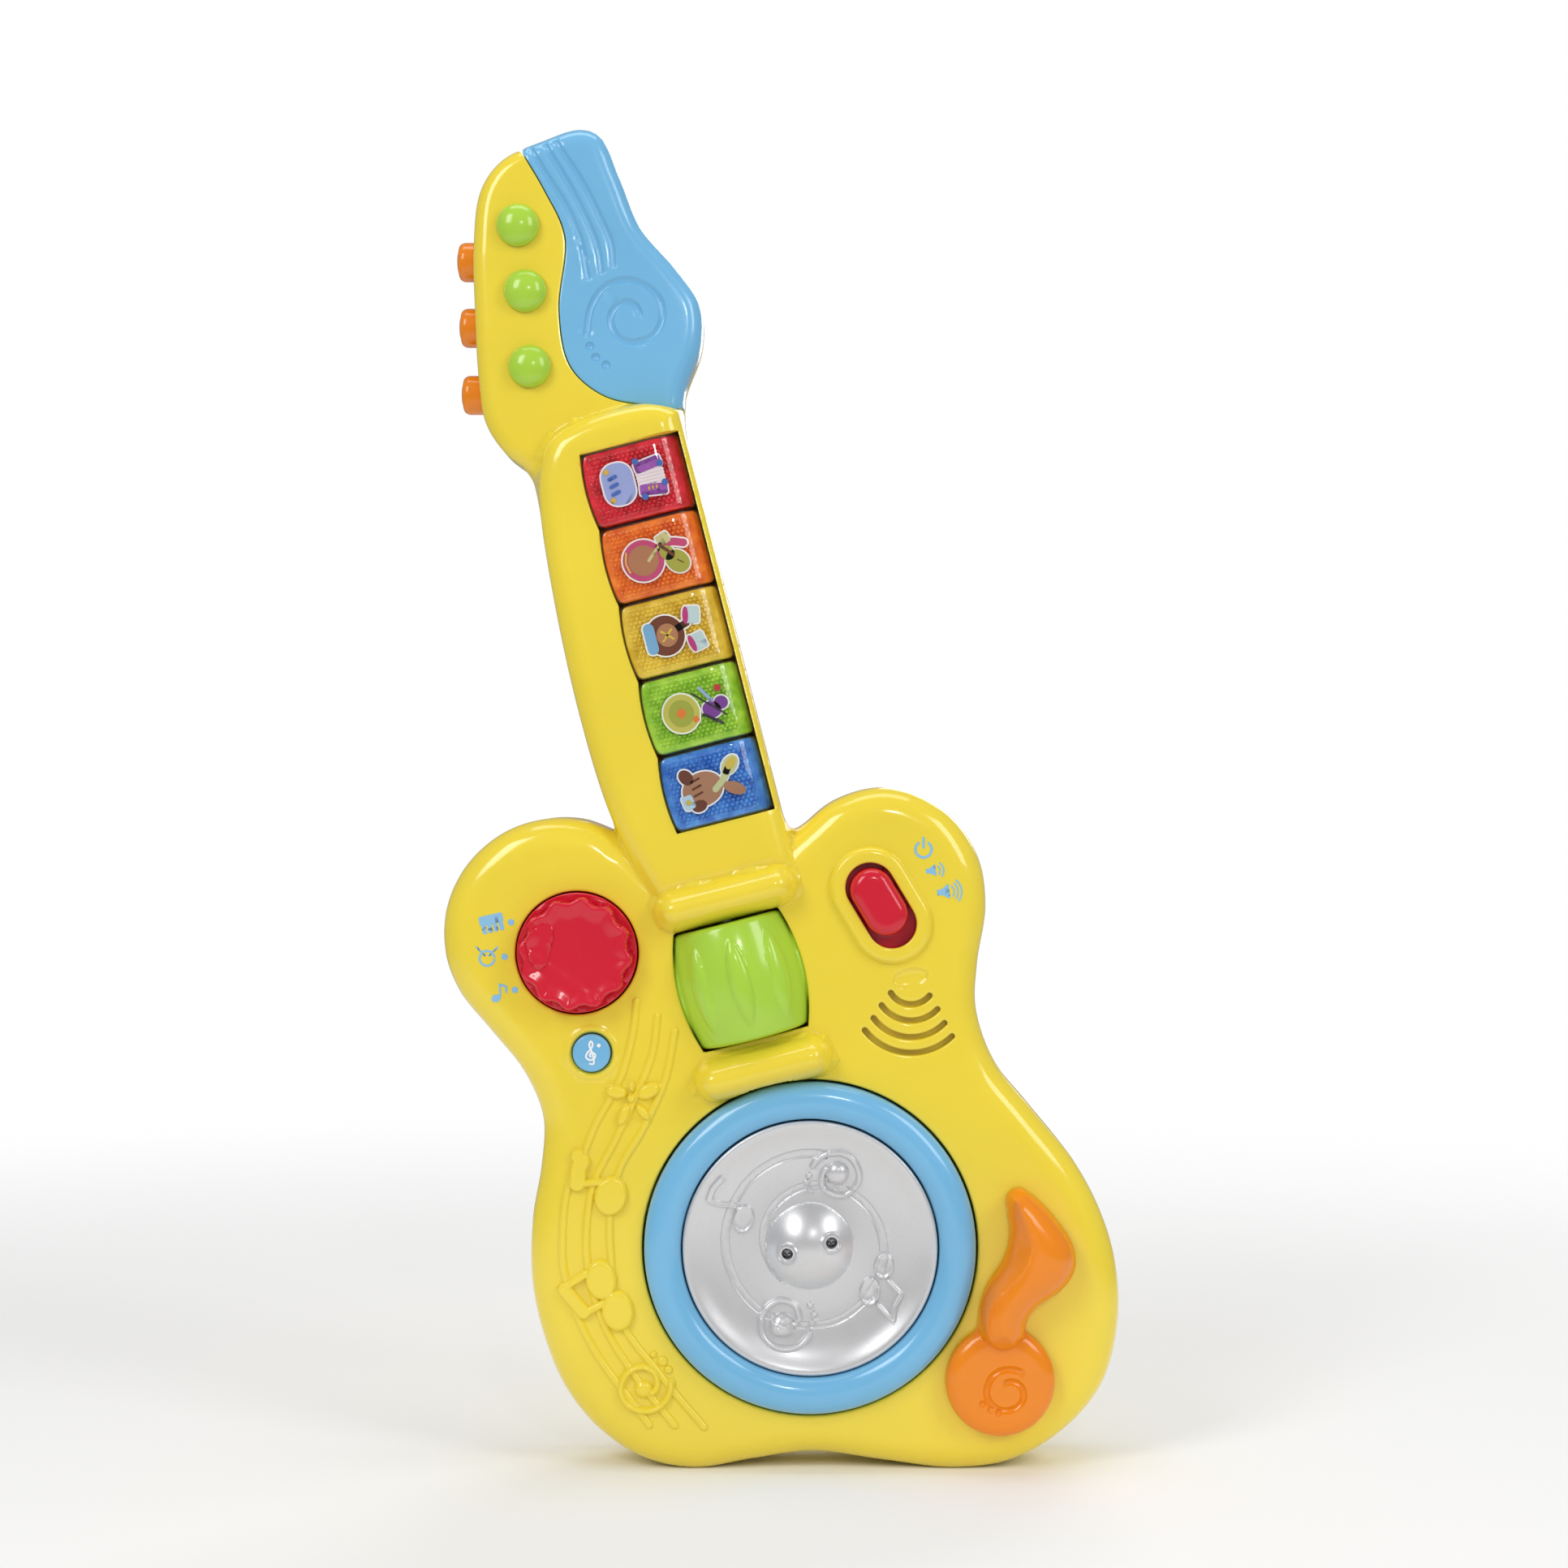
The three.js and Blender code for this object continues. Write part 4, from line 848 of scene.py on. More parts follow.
def speaker_slot(radius, centre_y, sweep):
    """Curved slot with round ends, `sweep` degrees to each side of straight down."""
    middle, half = radius - SPEAKER_SLOT_WIDTH / 2, SPEAKER_SLOT_WIDTH / 2
    centre = (SPEAKER_X, centre_y)
    low, high = math.radians(270 + SLOT_TILT - sweep), math.radians(270 + SLOT_TILT + sweep)

    def round_end(turn, start):
        return arc(arc(centre, middle, turn, turn, 1)[0], half, start + 0.35, start + math.pi - 0.35, 5)

    return np.vstack([
        arc(centre, middle + half, low, high, 26), round_end(high, high),
        arc(centre, middle - half, high, low, 26), round_end(low, low + math.pi),
    ])


def key_outline(grow):
    """Plan of one key about its own centre, in the neck frame."""
    half, long = KEY_WIDTH / 2 + grow, KEY_LENGTH / 2 + grow
    right = [(half, y) for y in np.linspace(-long, long, 12)]
    left = [(-half - KEY_BULGE * (1 - a * a), a * long) for a in np.linspace(1, -1, 17)]
    return np.array(right + left)


def key_centre(i):
    return np.array([0.0, KEY_PITCH * (4.5 - i)])


def key_window():
    """One opening for the row of keys, scalloped on its left side."""
    half, length, gap = KEY_WIDTH / 2 + 0.3, 5 * KEY_PITCH, 0.05
    right = [(half, v) for v in np.arange(gap, length - 0.1, 1.5)]
    left = [(-half - KEY_BULGE * (1 - a * a), key_centre(i)[1] + a * (KEY_PITCH / 2 - gap))
            for i in range(5) for a in np.linspace(1, -1, 14)[:-1]]
    return on_neck(np.array(right + [(half, length - gap)] + left + [(-half, gap)]))


def roller_opening():
    """Barrel-shaped opening round the part of the roller that stands out of the face."""
    half = ROLLER_LENGTH / 2 + ROLLER_GAP
    along = np.linspace(-half, half, 26)
    radius = ROLLER_MID_R - (ROLLER_MID_R - ROLLER_END_R) * (along / half) ** 2 + ROLLER_GAP
    wide = np.sqrt(radius ** 2 - (BODY_FRONT - ROLLER_AXIS_Z) ** 2)
    right = np.stack([AXIS_U + wide, ROLLER_V + along], 1)
    left = np.stack([AXIS_U - wide, ROLLER_V + along], 1)
    return on_neck(resample(np.vstack([right, left[::-1]]), 0.9, True))


def slot_place(points):
    return turned_by(points, SLOT_TURN, SLOT)


WELL = circle(TABLE, WELL_R, 1.3)
KNOB_HOLE = circle(KNOB, KNOB_HOLE_R, 1.0)
SONG_HOLE = circle(SONG, SONG_R + 0.35, 0.6)
SLOT_HOLE = slot_place(capsule(*SLOT_SIZE, 0.8))
BEZEL = slot_place(capsule(*BEZEL_SIZE, 0.8))
BEZEL_RISE = 2.2
GRILLE = [speaker_slot(*s) for s in SPEAKER_SLOTS]
DIMPLE = ((39.8, 151.9), 5.6, 3.0, 12)
SONG_HALO_R = 7.4
SADDLE_FOOT = 31.0


def saddle_height(points, centre, length):
    """Round-topped bar across the neck, falling away steeply beside it."""
    local = to_neck(points) - np.array(centre)
    reach, half = (length - SADDLE_WIDTH) / 2, SADDLE_WIDTH / 2
    along = np.clip(local[:, 0], -reach, reach)
    away = np.hypot(local[:, 0] - along, local[:, 1])
    dome = (SADDLE_TOP - SADDLE_FOOT) * np.sqrt(1 - np.clip(away / half, 0, 1) ** 2)
    return SADDLE_FOOT + np.where(away < half, dome, 4 * (half - away))


def body_relief(points):
    """Height that the moulded music on the left of the body adds."""
    layers = [ridge(points, spline(line, 1.0), STAFF_HALF, STAFF_HEIGHT) for line in STAFF]
    layers += [pillow(ellipse_depth(points, *petal), 1.0, 2.1) for petal in PETALS]
    layers += [pillow(ellipse_depth(points, *head), 1.1, 2.2) for head in BODY_NOTE_HEADS]
    layers += [pillow(half - line_distance(points, line, reach=4), 0.8, 1.9) for line, half in NOTE_STROKES]
    layers.append(ridge(points, spiral_line(BODY_SPIRAL), 1.25, 1.9))
    layers.append(pillow(round_depth(points, BODY_SPIRAL, BODY_BOSS_R), 2.6, 2.0))
    layers += [pillow(round_depth(points, centre, radius), radius, 1.2) for centre, radius in BODY_DOTS]
    return np.max(layers, axis=0)


def head_height(points):
    return HEAD_FRONT - HEAD_RISE + rounded_rim(depth_in(points, head_loop), HEAD_EDGE, HEAD_RISE)


def front_height(points):
    """Height of the yellow front shell over its back plane."""
    body = BODY_FRONT - BODY_RISE + rounded_rim(depth_in(points, body_loop), BODY_EDGE, BODY_RISE)
    neck = NECK_FRONT - NECK_RISE + rounded_rim(depth_in(points, neck_loop), NECK_EDGE, NECK_RISE)
    z = smooth_max(smooth_max(body, neck, 2.2), head_height(points), 3.0)
    for centre, length in SADDLES:
        z = smooth_max(z, saddle_height(points, centre, length), 1.2)
    z += body_relief(points)
    bezel = depth_in(points, BEZEL, 6)
    slope = np.sin(0.5 * math.pi * np.clip((bezel + 0.6) / 2.0, 0, 1)) ** 0.6
    z += np.where(bezel > -1.2, BEZEL_RISE * slope, 0)
    halo = np.hypot(*(points - SONG).T)
    z += bump(np.abs(halo - SONG_HALO_R), 1.2, 0.5)
    z -= pillow(ellipse_depth(points, *DIMPLE), 2.4, 0.9)
    rim = np.hypot(*(points - TABLE).T)
    flat_rim = BODY_FRONT + 30 * np.clip(rim - WELL_R, 0, 9)
    return np.where(rim < WELL_R + 1.5, np.minimum(z, flat_rim), z)


def lips(z, points, holes, width=0.7, drop=0.55):
    """Small rounded edge round each hole."""
    for hole in holes:
        away = line_distance(points, hole, True, 2.0)
        t = np.clip(1 - away / width, 0, 1)
        z = z - drop * (1 - np.sqrt(np.clip(1 - t * t, 0, None)))
    return z


def front_detail():
    """Rows of vertices along everything that is moulded on the front."""
    rows = []
    for line in STAFF:
        rows.append(beside(spline(line, 0.8), LINE_OFFSETS, 0.8))
        rows += [round_rows(end, STAFF_HALF, END_INSETS, 0.5) for end in (line[0], line[-1])]
    for centre, rx, ry, turn in PETALS + BODY_NOTE_HEADS:
        rows.append(disc_rows(centre, rx, ry, turn, [s for s in PAD_INSETS if s < min(rx, ry)], 0.5))
    for line, half in NOTE_STROKES:
        offsets = [o * s for o in (half + 0.1, half - 0.05, half - 0.3, half - 0.7) for s in (-1, 1)] + [0]
        rows.append(line_rows(line, offsets, 0.5, half, [-0.1, 0.05, 0.3, 0.7]))
    rows.append(beside(spiral_line(BODY_SPIRAL), LINE_OFFSETS, 0.5))
    rows.append(round_rows(BODY_SPIRAL, BODY_BOSS_R, [-0.1, 0.1, 0.4, 0.9, 1.5, 2.2], 0.5))
    rows += [round_rows(centre, radius, [-0.1, 0.05, 0.3, 0.7], 0.4) for centre, radius in BODY_DOTS]
    for offset in (-1.4, -1.1, -0.6, 0, 0.6, 1.2, 1.8, 2.4, 3.2):
        rows.append(BEZEL + side_normals(BEZEL) * offset)
    for offset in (-1.2, -0.8, -0.4, 0, 0.4, 0.8, 1.2):
        rows.append(circle(SONG, SONG_HALO_R + offset, 0.7))
    rows.append(disc_rows(*DIMPLE, [-0.3, 0, 0.2, 0.6, 1.2, 2], 0.7))
    for centre, length in SADDLES:
        bar = turned_by(capsule(length, SADDLE_WIDTH, 0.9), math.pi / 2)
        for offset in (-1.2, -0.5, 0, 0.1, 0.35, 0.8, 1.4, 2.2, 3.1, 4.1, 5.2):
            rows.append(on_neck(bar + side_normals(bar) * offset + np.array(centre)))
    inward = side_normals(neck_loop) * np.sign(signed_area(neck_loop))
    for offset in (-1.6, -0.9, -0.4, 0, 0.07, 0.3, 0.8, 1.5, 2.4, 3.5, 4.7, 6.0, 7.0):
        rows.append(neck_loop + inward * offset)
    return np.vstack(rows)


def seam_side(edge, covered):
    """Unit steps across the seam: into the head cover, or out of it."""
    aside = line_normals(edge)
    middle = len(edge) // 2
    into = inside((edge[middle] + 2 * aside[middle])[None], cover_region)[0]
    return aside if into == covered else -aside


def front_outline(covered, step):
    """Outline of the head cover, or of the front shell beside it, and its side of their seam."""
    rim = np.vstack(run_of(OUTLINE, inside(OUTLINE, cover_region) == covered))
    edge = cover_edge[inside(cover_edge, OUTLINE)]
    if np.linalg.norm(edge[0] - rim[-1]) > np.linalg.norm(edge[-1] - rim[-1]):
        edge = edge[::-1]
    seam = edge + seam_side(edge, covered) * SEAM
    return resample(np.vstack([rim, seam[1:-1]]), step, True), seam


WELL_FLOOR, PAN_WALL = 24.5, 2.4


def well_pan():
    """Pan under the turntable."""
    top, foot = BODY_FRONT - FRONT_WALL, WELL_FLOOR - 2.5
    profile = [
        (0, foot), (WELL_R + PAN_WALL, foot), (WELL_R + PAN_WALL, top), (WELL_R, top),
        (WELL_R, WELL_FLOOR + 0.7), (WELL_R - 0.7, WELL_FLOOR), (0, WELL_FLOOR),
    ]
    return turned(profile, 96, TABLE)


GRILLE_DEPTH, GRILLE_MARGIN = 3.4, 1.6


def flat_at(z):
    return lambda points: np.full(len(points), z)


def grille_back():
    """Recessed floor of the speaker slots."""
    low, high = np.vstack(GRILLE).min(0) - GRILLE_MARGIN, np.vstack(GRILLE).max(0) + GRILLE_MARGIN
    outline = rounded_box(low[0], high[0], low[1], high[1], 4, 2)
    level = BODY_FRONT - GRILLE_DEPTH
    return relief(outline, [], flat_at(level), level - 1, 9.0, (2.0,))


def front_shell():
    yellow, seam = front_outline(False, 1.3)
    plain_holes, window = [WELL, KNOB_HOLE, SONG_HOLE, SLOT_HOLE, roller_opening()], key_window()

    def height(points):
        z = lips(front_height(points), points, plain_holes + GRILLE)
        return lips(z, points, [seam, window], 0.45, 0.3)

    skin = relief(
        yellow, [*plain_holes, window, *GRILLE], height, PARTING + SEAM, 1.7, rim_insets(8.0),
        front_detail(), wall=FRONT_WALL,
    )
    verts, faces = joined(skin, well_pan(), grille_back())
    mesh_object("front_shell_skin", verts, faces, YELLOW, "case", ["front_shell"])


# ---------------------------------------------------------------- the head cover

COVER_STRINGS = [
    [(-77.6, 408.1), (-72.7, 400.1), (-66.7, 390.7), (-62.2, 380.2), (-59.9, 368.3)],
    [(-73.1, 409.1), (-65.7, 397.1), (-59.7, 385.2), (-56.7, 377.2), (-55.7, 370.2)],
    [(-69.7, 410.1), (-61.7, 398.1), (-55.7, 386.2), (-52.7, 379.2), (-52, 372.2)],
]
COVER_SPIRAL = [
    (-43.8, 357.3), (-45.8, 360.3), (-48.8, 360.6), (-52.2, 357.8), (-52.7, 353.8), (-50.3, 349.8),
    (-45.8, 348.2), (-39.8, 350.3), (-36.8, 355.3), (-37.8, 361.8), (-42.8, 366.3), (-48.8, 367.6),
    (-54.7, 365.3), (-58.7, 359.3), (-60.2, 350.8),
]
COVER_DIMPLES = [(-59.2, 347), (-57.4, 343.6), (-54.2, 341.2)]
COVER_DIMPLE_R = 1.35


def cover_height(points):
    cuts = [ridge(points, spline(line, 1.0), 1.15, 0.75) for line in COVER_STRINGS]
    cuts.append(ridge(points, spline(COVER_SPIRAL, 0.8), 1.25, 0.8))
    cuts += [pillow(round_depth(points, dimple, COVER_DIMPLE_R), 1.3, 0.8) for dimple in COVER_DIMPLES]
    return head_height(points) - np.max(cuts, axis=0)


def head_cover():
    blue, seam = front_outline(True, 1.2)
    lines = COVER_STRINGS + [COVER_SPIRAL]
    rows = [beside(spline(line, 0.8), LINE_OFFSETS, 0.8) for line in lines]
    rows += [round_rows(end, 1.3, END_INSETS, 0.5) for line in lines for end in (line[0], line[-1])]
    rows += [round_rows(dimple, COVER_DIMPLE_R, [-0.1, 0.05, 0.3, 0.7, 1.1], 0.4) for dimple in COVER_DIMPLES]

    def height(points):
        return lips(cover_height(points), points, [seam], 0.5, 0.35)

    verts, faces = relief(
        blue, [], height, PARTING + SEAM, 1.7, rim_insets(4.9, 7), np.vstack(rows), wall=WALL,
    )
    mesh_object("head_cover_skin", verts, faces, BLUE, "case", ["head_cover"])


# ---------------------------------------------------------------- the back

FACE_TO_BACK = FACE_TO_ROW @ Matrix.Diagonal((1, 1, -1, 1))
BAY = {"left": -18.5, "right": 45.0, "low": 12.5, "high": 57.5}
DOOR_SCREW = np.array([40.8, 35.0])
# place on the face, how far the back is set in there, and where the screw's tip ends
CASE_SCREWS = {
    "case_screw_horn_left": (-86, 180, 0, 26.5), "case_screw_horn_right": (50, 190, 0, 26.5),
    "case_screw_waist_left": (-62, 106, 0, 26.5), "case_screw_waist_right": (57, 113, 0, 26.5),
    "case_screw_lobe_left": (-45, 24, 0, 26.5), "case_screw_lobe_right": (90, 42, 0, 26.5),
    "case_screw_neck": (-59, 262, 2, 28.5), "case_screw_head": (-84, 355, 4, 23.5),
    "cover_screw": (-48, 366, 4, 23.5),
}
SCREW_WELL_R, SCREW_WELL_DEPTH = 3.7, 7.0
NECK_GRIPS = [on_neck([(-22, 36 + 12 * i), (8, 36 + 12 * i)]) for i in range(5)]
DOOR_GRIPS = [[(-13.5 + 3.12 * k, 27), (-13.5 + 3.12 * k, 43)] for k in range(3)]


def back_height(points):
    """How far the back stands out towards the back plane (0), always negative or zero."""
    body = rounded_rim(depth_in(points, body_loop), BODY_EDGE, BODY_RISE) - BODY_RISE
    neck = rounded_rim(depth_in(points, neck_loop), NECK_EDGE, NECK_RISE) - NECK_RISE - 2
    head = rounded_rim(depth_in(points, head_loop), HEAD_EDGE, HEAD_RISE) - HEAD_RISE - 4
    return np.minimum(smooth_max(smooth_max(body, neck, 1.5), head, 2.0), 0)


def back_shell():
    door = rounded_box(BAY["left"], BAY["right"], BAY["low"], BAY["high"], 2.5, 1.2)
    wells = [circle((x, y), SCREW_WELL_R, 0.7) for x, y, _, _ in CASE_SCREWS.values()]

    def height(points):
        z = lips(back_height(points), points, [door, *wells])
        for line in NECK_GRIPS:
            z = z - ridge(points, line, 1.6, 0.8)
        return z

    rows = [beside(line, [-1.6, -1.2, -0.7, 0, 0.7, 1.2, 1.6], 1) for line in NECK_GRIPS]
    skin = relief(
        OUTLINE, [door, *wells], height, -(PARTING - SEAM), 1.9, rim_insets(8.0), np.vstack(rows), wall=WALL,
    )
    tubes = [well_tube((x, y), set_in) for x, y, set_in, _ in CASE_SCREWS.values()]
    verts, faces = joined(skin, *tubes, door_tray())
    mesh_object(
        "back_shell_skin", verts, faces, YELLOW, "case", ["back_shell"],
        matrix=FACE_TO_BACK,
    )


def well_tube(place, set_in):
    """Tube round a screw head, with the ledge that the head sits on, drawn towards the back."""
    top, ledge, outer = -set_in - 1.6, -set_in - SCREW_WELL_DEPTH, SCREW_WELL_R + 1.5
    profile = [
        (SCREW_WELL_R, top), (SCREW_WELL_R, ledge), (1.8, ledge), (1.8, ledge - 1.6),
        (outer, ledge - 1.6), (outer, top), (SCREW_WELL_R, top),
    ]
    return turned(profile, 28, place)


def door_tray():
    """Roof of the battery bay behind its door."""
    left, right, low, high = BAY["left"] - 1.6, 38.1, BAY["low"] - 1.6, BAY["high"] + 1.6
    return relief(rounded_box(left, right, low, high, 2.5, 3), [], flat_at(-18.0), -19.2, 12.0, (2.0,))


def battery_door():
    gap, sink, slope = 0.35, 1.2, 0.25
    panel = rounded_box(BAY["left"] + gap, BAY["right"] - gap, BAY["low"] + gap, BAY["high"] - gap, 2.2, 0.9)
    hole = circle(DOOR_SCREW, 1.8, 0.5)

    def height(points):
        z = -1.0 + rounded_rim(depth_in(points, panel), 0.8, 0.8)
        away = np.hypot(*(points - DOOR_SCREW).T)
        z = z - sink * np.clip((3.4 - away) / slope, 0, 1)
        for line in DOOR_GRIPS:
            z = z - ridge(points, line, 1.1, 0.7, 2)
        return z

    rows = [circle(DOOR_SCREW, r, 0.6) for r in (2.3, 2.8, 3.1, 3.18, 3.4, 3.5)]
    rows += [beside(line, [-1.1, -0.8, -0.4, 0, 0.4, 0.8, 1.1], 0.8) for line in DOOR_GRIPS]
    verts, faces = relief(panel, [hole], height, -2.3, 1.8, rim_insets(0.8, 4), np.vstack(rows))
    mesh_object(
        "battery_door_panel", verts, faces, YELLOW, "case", ["battery_door"],
        matrix=FACE_TO_BACK,
    )


# ---------------------------------------------------------------- screws


def cross_head(radius, thick, tip):
    """Pan head with a cross recess, its top at 0, and a shank down to `tip`."""
    rim = circle((0, 0), radius, radius / 9)
    arm, half = 0.62 * radius, 0.16 * radius

    def height(points):
        r = np.hypot(points[:, 0], points[:, 1])
        z = -thick * 0.55 * (r / radius) ** 3
        x, y = np.abs(points[:, 0]), np.abs(points[:, 1])
        deep = np.maximum(np.minimum(half - x, arm - y), np.minimum(half - y, arm - x))
        return z - 0.55 * thick * np.clip(deep / (0.08 * radius) + 0.5, 0, 1)

    grid = hex_grid((-radius, -radius), (radius, radius), radius / 14)
    head = relief(rim, [], height, -thick, radius / 6, rim_insets(radius * 0.2, 3), grid)
    shank_r, shank_top = 0.45 * radius, 0.05 - thick
    shank = turned([(0, shank_top), (shank_r, shank_top), (shank_r, tip + 1), (0, tip)], 16)
    return joined(head, shank)


def screw(node, place, head_z, radius, tip_z, body="case", back=True, thick=1.9):
    """A cross-head screw whose head top is at head_z, looking back or forward."""
    verts, faces = cross_head(radius, thick, -abs(tip_z - head_z))
    if back:
        verts = verts * (1, 1, -1)
    verts = verts + (place[0], place[1], head_z)
    mesh_object(f"{node}_head", verts, faces, STEEL, body, [node])


def screws():
    head_over_ledge = 2.25
    for node, (x, y, set_in, tip) in CASE_SCREWS.items():
        screw(node, (x, y), set_in + SCREW_WELL_DEPTH - head_over_ledge, 3.0, tip)
    for i, place in enumerate(DISC_SCREWS, 1):
        screw(f"disc_screw_{i}", TABLE + np.array(place), 35.4, 1.65, 27.9, "turntable", False)
    screw("door_screw", DOOR_SCREW, 0.35, 2.8, 8.2, thick=0.8)


# ---------------------------------------------------------------- tuners


def tuners():
    skirt_r, skirt_top, rise = 6.6, 30.9, 4.2
    dome = [(0, 25.4), (2.2, 25.4), (2.2, 30.2), (skirt_r, 30.2), (skirt_r, skirt_top)]
    dome += [(skirt_r * math.cos(t), skirt_top + rise * math.sin(t))
             for t in np.linspace(0.08, math.pi / 2, 14)[:-1]]
    dome += [(0, skirt_top + rise)]
    for i, place in enumerate(TUNER_DOMES, 1):
        verts, faces = turned(dome, 48, place)
        mesh_object(f"tuner_dome_{i}_cap", verts, faces, GREEN, "case", [f"tuner_dome_{i}"])
    peg = [(0, 0.0), (2.6, 0.05), (4.4, 0.5)]
    peg += [(4.4 + 1.7 * math.sin(t), 2.7 - 2.2 * math.cos(t)) for t in np.linspace(0.2, math.pi / 2, 6)]
    peg += [(6.1, 8.4), (5.7, 8.9), (5.7, 12), (0, 12)]
    for i, (x, y) in enumerate(TUNER_PEGS, 1):
        verts, faces = turned(peg, 40)
        verts = np.stack([x + verts[:, 2], y + verts[:, 1], PARTING - verts[:, 0]], 1)
        mesh_object(f"tuner_peg_{i}_knob", verts, faces, ORANGE, "case", [f"tuner_peg_{i}"])


# ---------------------------------------------------------------- keys

KEY_SMOOTHING = 15
BEAD_PITCH, BEAD_RISE, BEAD_SINK = 1.5, 0.85, 3.4
# deep and bright colour of the beads, and tint of the clear cap
KEY_COLOURS = {
    "key_red": ((0.52, 0.002, 0.010), (0.86, 0.020, 0.045), (1.0, 0.93, 0.94)),
    "key_orange": ((0.76, 0.110, 0.002), (1.0, 0.27, 0.02), (1.0, 0.96, 0.92)),
    "key_amber": ((0.68, 0.430, 0.010), (0.95, 0.70, 0.08), (1.0, 0.98, 0.92)),
    "key_green": ((0.24, 0.520, 0.010), (0.50, 0.80, 0.07), (0.97, 1.0, 0.93)),
    "key_blue": ((0.015, 0.130, 0.540), (0.11, 0.36, 0.86), (0.93, 0.97, 1.0)),
}


def key_crown(points):
    """Upper surface of a key: a low crown that rolls down on its right."""
    z = KEY_TOP - 0.35 * (points[:, 1] / 11.7) ** 2
    return z - 5.0 * np.clip((points[:, 0] - 5.0) / 10.2, 0, 1) ** 2.6


def rounded_key(grow):
    """Plan of one key with rounded corners."""
    loop = resample(key_outline(grow + 0.1), 0.55, True)
    for _ in range(KEY_SMOOTHING):
        loop = 0.5 * loop + 0.25 * (np.roll(loop, 1, 0) + np.roll(loop, -1, 0))
    return np.clip(loop, (-99, -KEY_LENGTH / 2 - grow), (KEY_WIDTH / 2 + grow, KEY_LENGTH / 2 + grow))


def bead_plate():
    """Beaded plate inside a key, about its own centre."""
    outline = rounded_key(-0.3)
    lattice = hex_grid((-15.6, -11.2), (11.4, 11.2), BEAD_PITCH)
    rng = np.random.default_rng(7)
    lattice = lattice + rng.normal(0, 0.07, lattice.shape)
    size = np.interp(lattice[:, 0], [-15, 10], [0.52, 0.70])
    grid = hex_grid((-17, -12), (15, 12), 0.3)

    def bead_height(points):
        rise = np.zeros(len(points))
        for part in np.array_split(np.arange(len(points)), 40):
            gap = np.linalg.norm(points[part][:, None] - lattice, axis=2)
            near = gap.argmin(1)
            t = np.clip(gap[np.arange(len(part)), near] / size[near], 0, 1)
            rise[part] = BEAD_RISE * np.sqrt(1 - t * t)
        return rise

    def height(points):
        depth = depth_in(points, outline, 4)
        within = np.clip(depth - 1.4, 0, 1) * np.clip(11.8 - points[:, 0], 0, 1)
        return key_crown(points) - BEAD_SINK + rounded_rim(depth, 1.0, 0.9) + bead_height(points) * within

    return relief(outline, [], height, KEY_BASE + 0.3, 0.8, (0.2, 0.5), grid, wall=1.5)


def key_cap():
    """Clear cap over the beads, about its own centre."""
    outline, rim = rounded_key(0.0), 1.3

    def height(points):
        return key_crown(points) - rim + rounded_rim(depth_in(points, outline), rim, rim)

    return relief(outline, [], height, KEY_CAP_FOOT, 1.4, rim_insets(rim, 5))


def oval(cx, cy, rx, ry, degrees=0.0):
    turn = np.linspace(0, 2 * math.pi, 28, endpoint=False)
    return turned_by(np.stack([rx * np.cos(turn), ry * np.sin(turn)], 1), math.radians(degrees), (cx, cy))


def tile(cx, cy, width, height, degrees=0.0, radius=0.6):
    radius = min(radius, width / 2 - 0.01, height / 2 - 0.01)
    loop = rounded_box(-width / 2, width / 2, -height / 2, height / 2, radius, 0.35)
    return turned_by(loop, math.radians(degrees), (cx, cy))


def stroke(line, width, smooth=True):
    """Closed outline of a round-ended stroke along a line."""
    line = spline(line, 0.4) if smooth and len(line) > 2 else resample(line, 0.4)
    aside = line_normals(line) * width / 2

    def round_end(tip, heading):
        start = math.atan2(heading[1], heading[0]) - math.pi / 2
        return arc(tip, width / 2, start + 0.3, start + math.pi - 0.3, 6)

    return np.vstack([
        line - aside, round_end(line[-1], line[-1] - line[-2]),
        (line + aside)[::-1], round_end(line[0], line[0] - line[1]),
    ])


def film(name, shape, low, material, body, place=lambda v: v, surface=None, thick=0.05):
    """Thin printed or stuck-on shape, raised from `low`, or by `low` from a surface."""
    base, base_faces = triangulate([shape])
    count = len(base)
    level = np.full(count, low) if surface is None else surface(base) + low
    verts = np.vstack([np.column_stack([base, level + thick]), np.column_stack([base, level])])
    faces = wound(0, base, base_faces, True) + wound(count, base, base_faces, False)
    bridge(faces, 0, count, len(shape))
    mesh_object(name, place(verts), faces, material, body)


PALETTE = {
    "white": (0.93, 0.92, 0.93), "pale_blue": (0.33, 0.45, 0.80), "mid_blue": (0.05, 0.16, 0.55),
    "gold": (0.72, 0.50, 0.06), "purple": (0.20, 0.04, 0.34), "violet": (0.35, 0.10, 0.50),
    "pink": (0.56, 0.06, 0.20), "tan": (0.45, 0.20, 0.10), "olive": (0.38, 0.40, 0.05),
    "cream": (0.62, 0.60, 0.28), "brown": (0.16, 0.035, 0.012), "sky": (0.18, 0.42, 0.75),
    "ice": (0.52, 0.68, 0.78), "magenta": (0.50, 0.03, 0.22), "mustard": (0.58, 0.52, 0.10),
    "orange": (0.80, 0.20, 0.03), "black": (0.02, 0.02, 0.025), "red": (0.60, 0.03, 0.05),
}


